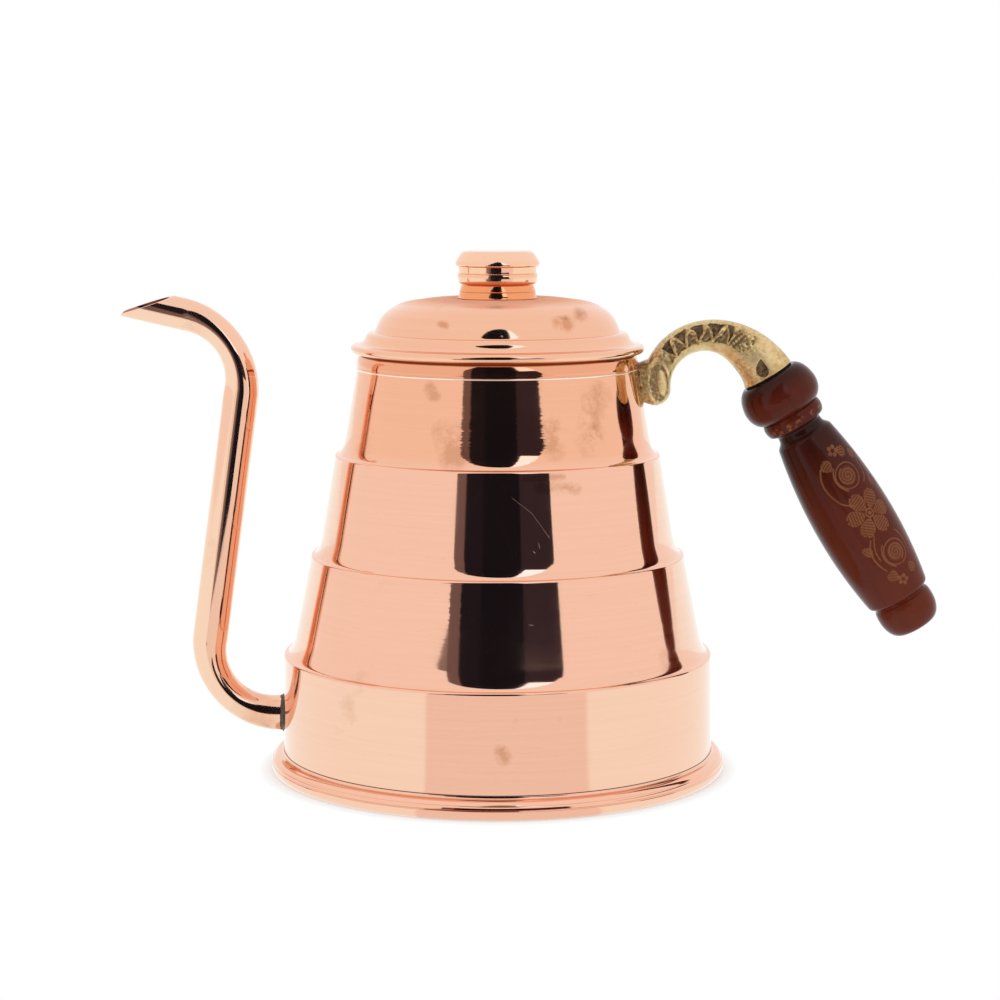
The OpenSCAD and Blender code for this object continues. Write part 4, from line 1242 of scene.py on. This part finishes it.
def carving(s, w):
    """How deep the carved ornament is at a distance s down the grip and w round it, in
    millimetres from the middle of the grip's side: a blossom with hatched petals, with coiled
    buds, leaves and stems above and below it."""
    depth = np.zeros_like(s)

    def add(shape):
        np.maximum(depth, shape, out=depth)

    def line_of(away, half_width):
        add(1 - smooth(0.6 * half_width, 1.3 * half_width, away))

    def stroke(points, half_width):
        away = np.full_like(s, 99.0)
        for (s0, w0), (s1, w1) in zip(points[:-1], points[1:]):
            run = np.array([s1 - s0, w1 - w0])
            share = np.clip(((s - s0) * run[0] + (w - w0) * run[1]) / run.dot(run), 0, 1)
            step = np.hypot(s - s0 - share * run[0], w - w0 - share * run[1])
            np.minimum(away, step, out=away)
        line_of(away, half_width)

    def disc(cs, cw, radius, strength):
        away = np.hypot(s - cs, w - cw)
        add(strength * (1 - smooth(radius - 0.15, radius + 0.15, away)))

    def ring(cs, cw, radius, half_width):
        line_of(np.abs(np.hypot(s - cs, w - cw) - radius), half_width)

    def coil(cs, cw, radius, turns, start):
        steps = np.linspace(0, 1, int(18 * turns))
        angles = np.radians(start) + 2 * pi * turns * steps
        radii = radius * (1 - 0.88 * steps)
        points = [(cs + r * cos(a), cw + r * sin(a)) for r, a in zip(radii, angles)]
        stroke(points, 0.26)

    def hatched(cs, cw, lean, length, width, pitch):
        inside, outline, u = petal(s, w, cs, cw, lean, length, width)
        lines = 0.5 + 0.5 * np.cos(2 * pi * u / pitch)
        add(inside * (0.30 + 0.62 * smooth(0.35, 0.75, lines)))
        add(outline)

    def spray(cs, cw, radius, size):
        for i in range(5):
            a = np.radians(72 * i)
            disc(cs + radius * cos(a), cw + radius * sin(a), size, 0.8)

    flower_s, flower_w = 54.2, 5.2
    for lean in range(22, 382, 60):
        a = radians(lean)
        start_s, start_w = flower_s + 1.5 * cos(a), flower_w + 1.5 * sin(a)
        hatched(start_s, start_w, lean, 7.0, 2.55, 0.9)
    ring(flower_s, flower_w, 1.35, 0.25)
    disc(flower_s, flower_w, 0.7, 0.8)

    for bud_s, bud_w, start in ((40.2, 5.4, 200), (69.6, 6.2, 20)):
        coil(bud_s, bud_w, 3.1, 2.6, start)
        disc(bud_s, bud_w, 3.2, 0.35)
        ring(bud_s, bud_w, 4.3, 0.22)
        stem = curve((-4.1, -3.2), (0.0, -6.6), (4.3, -2.6), 10)
        stroke(shifted(stem, bud_s, bud_w), 0.24)
    for leaf_s, leaf_w, lean, length in (
        (36.4, 1.6, 205, 4.4), (34.6, 7.6, 165, 4.2), (36.2, 10.8, 120, 3.6),
        (74.2, 2.2, -28, 4.4), (75.2, 8.6, 20, 3.8), (64.2, -0.6, -60, 3.4), (46.6, 12.4, 95, 3.2),
    ):
        hatched(leaf_s, leaf_w, lean, length, 1.9, 0.85)
    for root, through, tip, steps, half_width in (
        ((34.2, -1.6), (39.5, -5.6), (46.6, -1.8), 12, 0.26),
        ((46.6, -1.8), (48.4, -0.4), (49.6, 1.8), 8, 0.26),
        ((62.2, 0.6), (67.2, -3.4), (73.6, 0.2), 12, 0.26),
        ((61.4, 2.4), (65.6, -0.6), (69.6, 0.2), 10, 0.20),
        ((44.8, 9.8), (43.4, 13.2), (38.2, 12.8), 10, 0.22),
        ((63.6, 10.6), (67.0, 13.4), (72.4, 11.6), 10, 0.22),
    ):
        stroke(curve(root, through, tip, steps), half_width)
    spray(31.0, 5.2, 1.35, 0.75)
    spray(78.8, 3.6, 1.25, 0.7)
    return depth


def chips(turn, along):
    """Small chips at random places in the bead below the collar."""
    rng = np.random.default_rng(SEED)
    depth = np.zeros_like(along)
    for _ in range(26):
        a, s = rng.uniform(-pi, pi), rng.uniform(COLLAR_LEN + 2.0, GROOVE_S - 0.8)
        off = np.hypot((turn - a) * (BEAD_R - 0.1), along - s)
        depth = np.maximum(depth, 0.6 * (1 - smooth(0.2, 0.9, off)))
    return depth


def grip():
    """The turned wood, carved on both sides of its barrel and chipped round its bead."""
    rings = turned_rings(held(grip_outline(), True), 336)
    x, y, along = np.moveaxis(rings.copy(), -1, 0)
    radius, turn = np.hypot(x, y), np.arctan2(y, x)
    side = np.abs(turn) - pi / 2
    outer = radius > NECK_GROOVE_R
    on_barrel = (along > BARREL_FROM) * (along < BARREL_END_S - 1) * outer
    carved = carving(along, side * radius) * on_barrel
    chipped = chips(turn, along) * (along < GROOVE_S) * outer
    shrink = 1 - (CARVE_DEPTH * carved + CHIP_DEPTH * chipped) / np.maximum(radius, 1.0)
    rings[..., :2] *= shrink[..., None]
    placed = rings @ np.array(GRIP_PLACE.to_3x3()).T + np.array(GRIP_PLACE.translation)
    wood = lacquered_wood("red lacquered wood", GRIP_PLACE)
    piece = finished("grip_wood", placed, "kettle", [wood], sharp=60)
    store(piece, {"depth": np.maximum(carved, 0.75 * chipped), "along": along * MM})
    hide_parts("grip")


# ---- stage, light and camera

CARD_DISTANCE = 0.42
CARD_COLUMNS, CARD_ROWS = 60, 16
GLARE_FROM = 9.5
GROUND = 0.0


def card(name, bearings, strength, low, high, colour, distance=CARD_DISTANCE):
    """A curved glowing card round the front of the kettle, which only reflections show. Its
    bearings are measured from the camera's side towards +X, and low and high are its edges'
    heights in metres, or functions that give them at a bearing."""
    points = []
    for j in range(CARD_ROWS + 1):
        for i in range(CARD_COLUMNS + 1):
            bearing = mix(*bearings, i / CARD_COLUMNS)
            ends = [edge(bearing) if callable(edge) else edge for edge in (low, high)]
            x, y = distance * direction(bearing - 90)
            points.append((x, y, float(mix(*ends, j / CARD_ROWS))))
    up = CARD_COLUMNS + 1
    starts = [j * up + i for j in range(CARD_ROWS) for i in range(CARD_COLUMNS)]
    mesh = bpy.data.meshes.new(name)
    mesh.from_pydata(points, [], [(a, a + 1, a + up + 1, a + up) for a in starts])
    s = Shader(name + " shade")
    piece = linked(name, mesh, [s.closed_by(s.glow(colour, strength))])
    for ray in ("camera", "diffuse", "transmission", "shadow", "volume_scatter"):
        setattr(piece, "visible_" + ray, False)


def arch(bearing):
    """Top of the dark opening in front of the kettle."""
    return 0.19 + 0.43 * max(0.0, 1 - ((bearing - 2) / 31)**2)**1.2


def glare_edge(bearing):
    """Lower edge of the bright panel in the opening's upper right part."""
    return min(0.245 + 0.34 * (1 - smooth(GLARE_FROM, 17.0, bearing)), arch(bearing))


def sill(bearing):
    """Bottom of the dark opening, which starts above a bright wall at its right."""
    return 0.105 * smooth(GLARE_FROM, 11.5, bearing)


def far_top(bearing):
    """Top of the card furthest to the left."""
    return 0.235 + 0.004 * bearing


def cards():
    card("left front card", (-20, -9), 0.015, GROUND, arch, (1.05, 1.0, 1.5))
    card("middle front card", (-9, 14), 0.010, sill, arch, (0.95, 1.0, 1.6))
    card("right front card", (14, 34), 0.034, sill, arch, (1.05, 0.85, 1.25))
    card("near side card", (-26, -20), 0.15, GROUND, arch, (1.15, 0.9, 0.95))
    card("far side card", (-33, -26), 0.24, GROUND, far_top, (1.1, 0.95, 0.95))
    near = CARD_DISTANCE - 0.01
    card("glare card", (GLARE_FROM, 33), 1.4, glare_edge, arch, (1.0, 1.2, 1.45), near)


FLOOR_R = 6.0
SHADOW_R = (0.071, 0.079)
FOCUS_Y = -0.037
STRIP_LEFT = (-38.5, -36.5)
STRIP_RIGHT = (48.5, 46)


def floor():
    """Pale round floor. Close round the kettle it takes the kettle's soft shadow, further out it is
    even white, and metal sees it as a bright sheet that is dimmer in front of the kettle, a painted
    shadow that only reflections show."""
    mesh = bpy.data.meshes.new("floor")
    work = bmesh.new()
    bmesh.ops.create_circle(work, cap_ends=True, segments=96, radius=FLOOR_R)
    work.to_mesh(mesh)
    work.free()
    s = Shader("pale floor")
    x, y, _ = s.axes(s.coordinates)
    paint = s.add("BsdfDiffuse", {"Color": (0.97, 0.97, 0.965, 1)})
    white = s.glow((1.0, 1.0, 1.0))
    outside = s.ramp(s.span(x, y), *SHADOW_R)
    even = s.add("MixShader", {0: outside, 1: paint.outputs[0], 2: white.outputs[0]})
    # Painted shadow: metal sees the floor dimmer in a strip in front of the kettle
    bearing = s.math("ARCTAN2", x, s.minus(FOCUS_Y, y))
    left, right = (s.ramp(bearing, *map(radians, edge)) for edge in (STRIP_LEFT, STRIP_RIGHT))
    sheet = s.glow(s.blend(s.times(left, right), (1.02, 1.17, 1.19), (0.94, 0.93, 0.92)))
    glossy = s.add("LightPath").outputs["Is Glossy Ray"]
    seen = s.add("MixShader", {0: glossy, 1: even.outputs[0], 2: sheet.outputs[0]})
    piece = linked("floor", mesh, [s.closed_by(seen)])


def world():
    """Even white light from all sides."""
    scene = bpy.context.scene
    scene.world = bpy.data.worlds.new("white studio")
    scene.world.use_nodes = True
    background = scene.world.node_tree.nodes["Background"]
    background.inputs["Color"].default_value = (1, 1, 1, 1)
    background.inputs["Strength"].default_value = 1.0


CAMERA_PLACE = (0.0008, -0.830, 0.200)
CAMERA_DIP = 7.66
CAMERA_LENS = 92.2


def camera():
    """At the photograph's height and angle, in front of the kettle's axis and looking down."""
    data = bpy.data.cameras.new("camera")
    data.lens = CAMERA_LENS
    data.sensor_width = 36.0
    data.clip_start = 0.01
    piece = linked("camera", data)
    piece.location = CAMERA_PLACE
    piece.rotation_euler = (radians(90 - CAMERA_DIP), 0.0, 0.0)
    bpy.context.scene.camera = piece
    bpy.context.scene.view_settings.view_transform = "Standard"


def carried_over():
    """Finishes for the CAD nodes that stay as they are."""
    for finish, names in (
        (BODY_COPPER, ("base_plate",)),
        (PLAIN_COPPER, ("rivet_burrs", "lid_wire")),
        (BRASS, ("knob_boss",)),
        (STEEL, ("tie_rod", "grip_washer", "grip_nut", "knob_screw", "knob_washer")),
    ):
        for name in names:
            mesh = frame["nodes"][name].data
            mesh.materials.clear()
            mesh.materials.append(finish)


camera()
world()
floor()
cards()
body_shell()
mouth_band()
foot_ring()
lid_shell()
lid_skirt()
knob_neck()
knob_cap()
spout()
solder_fillet()
bracket()
rivets()
grip()
carried_over()
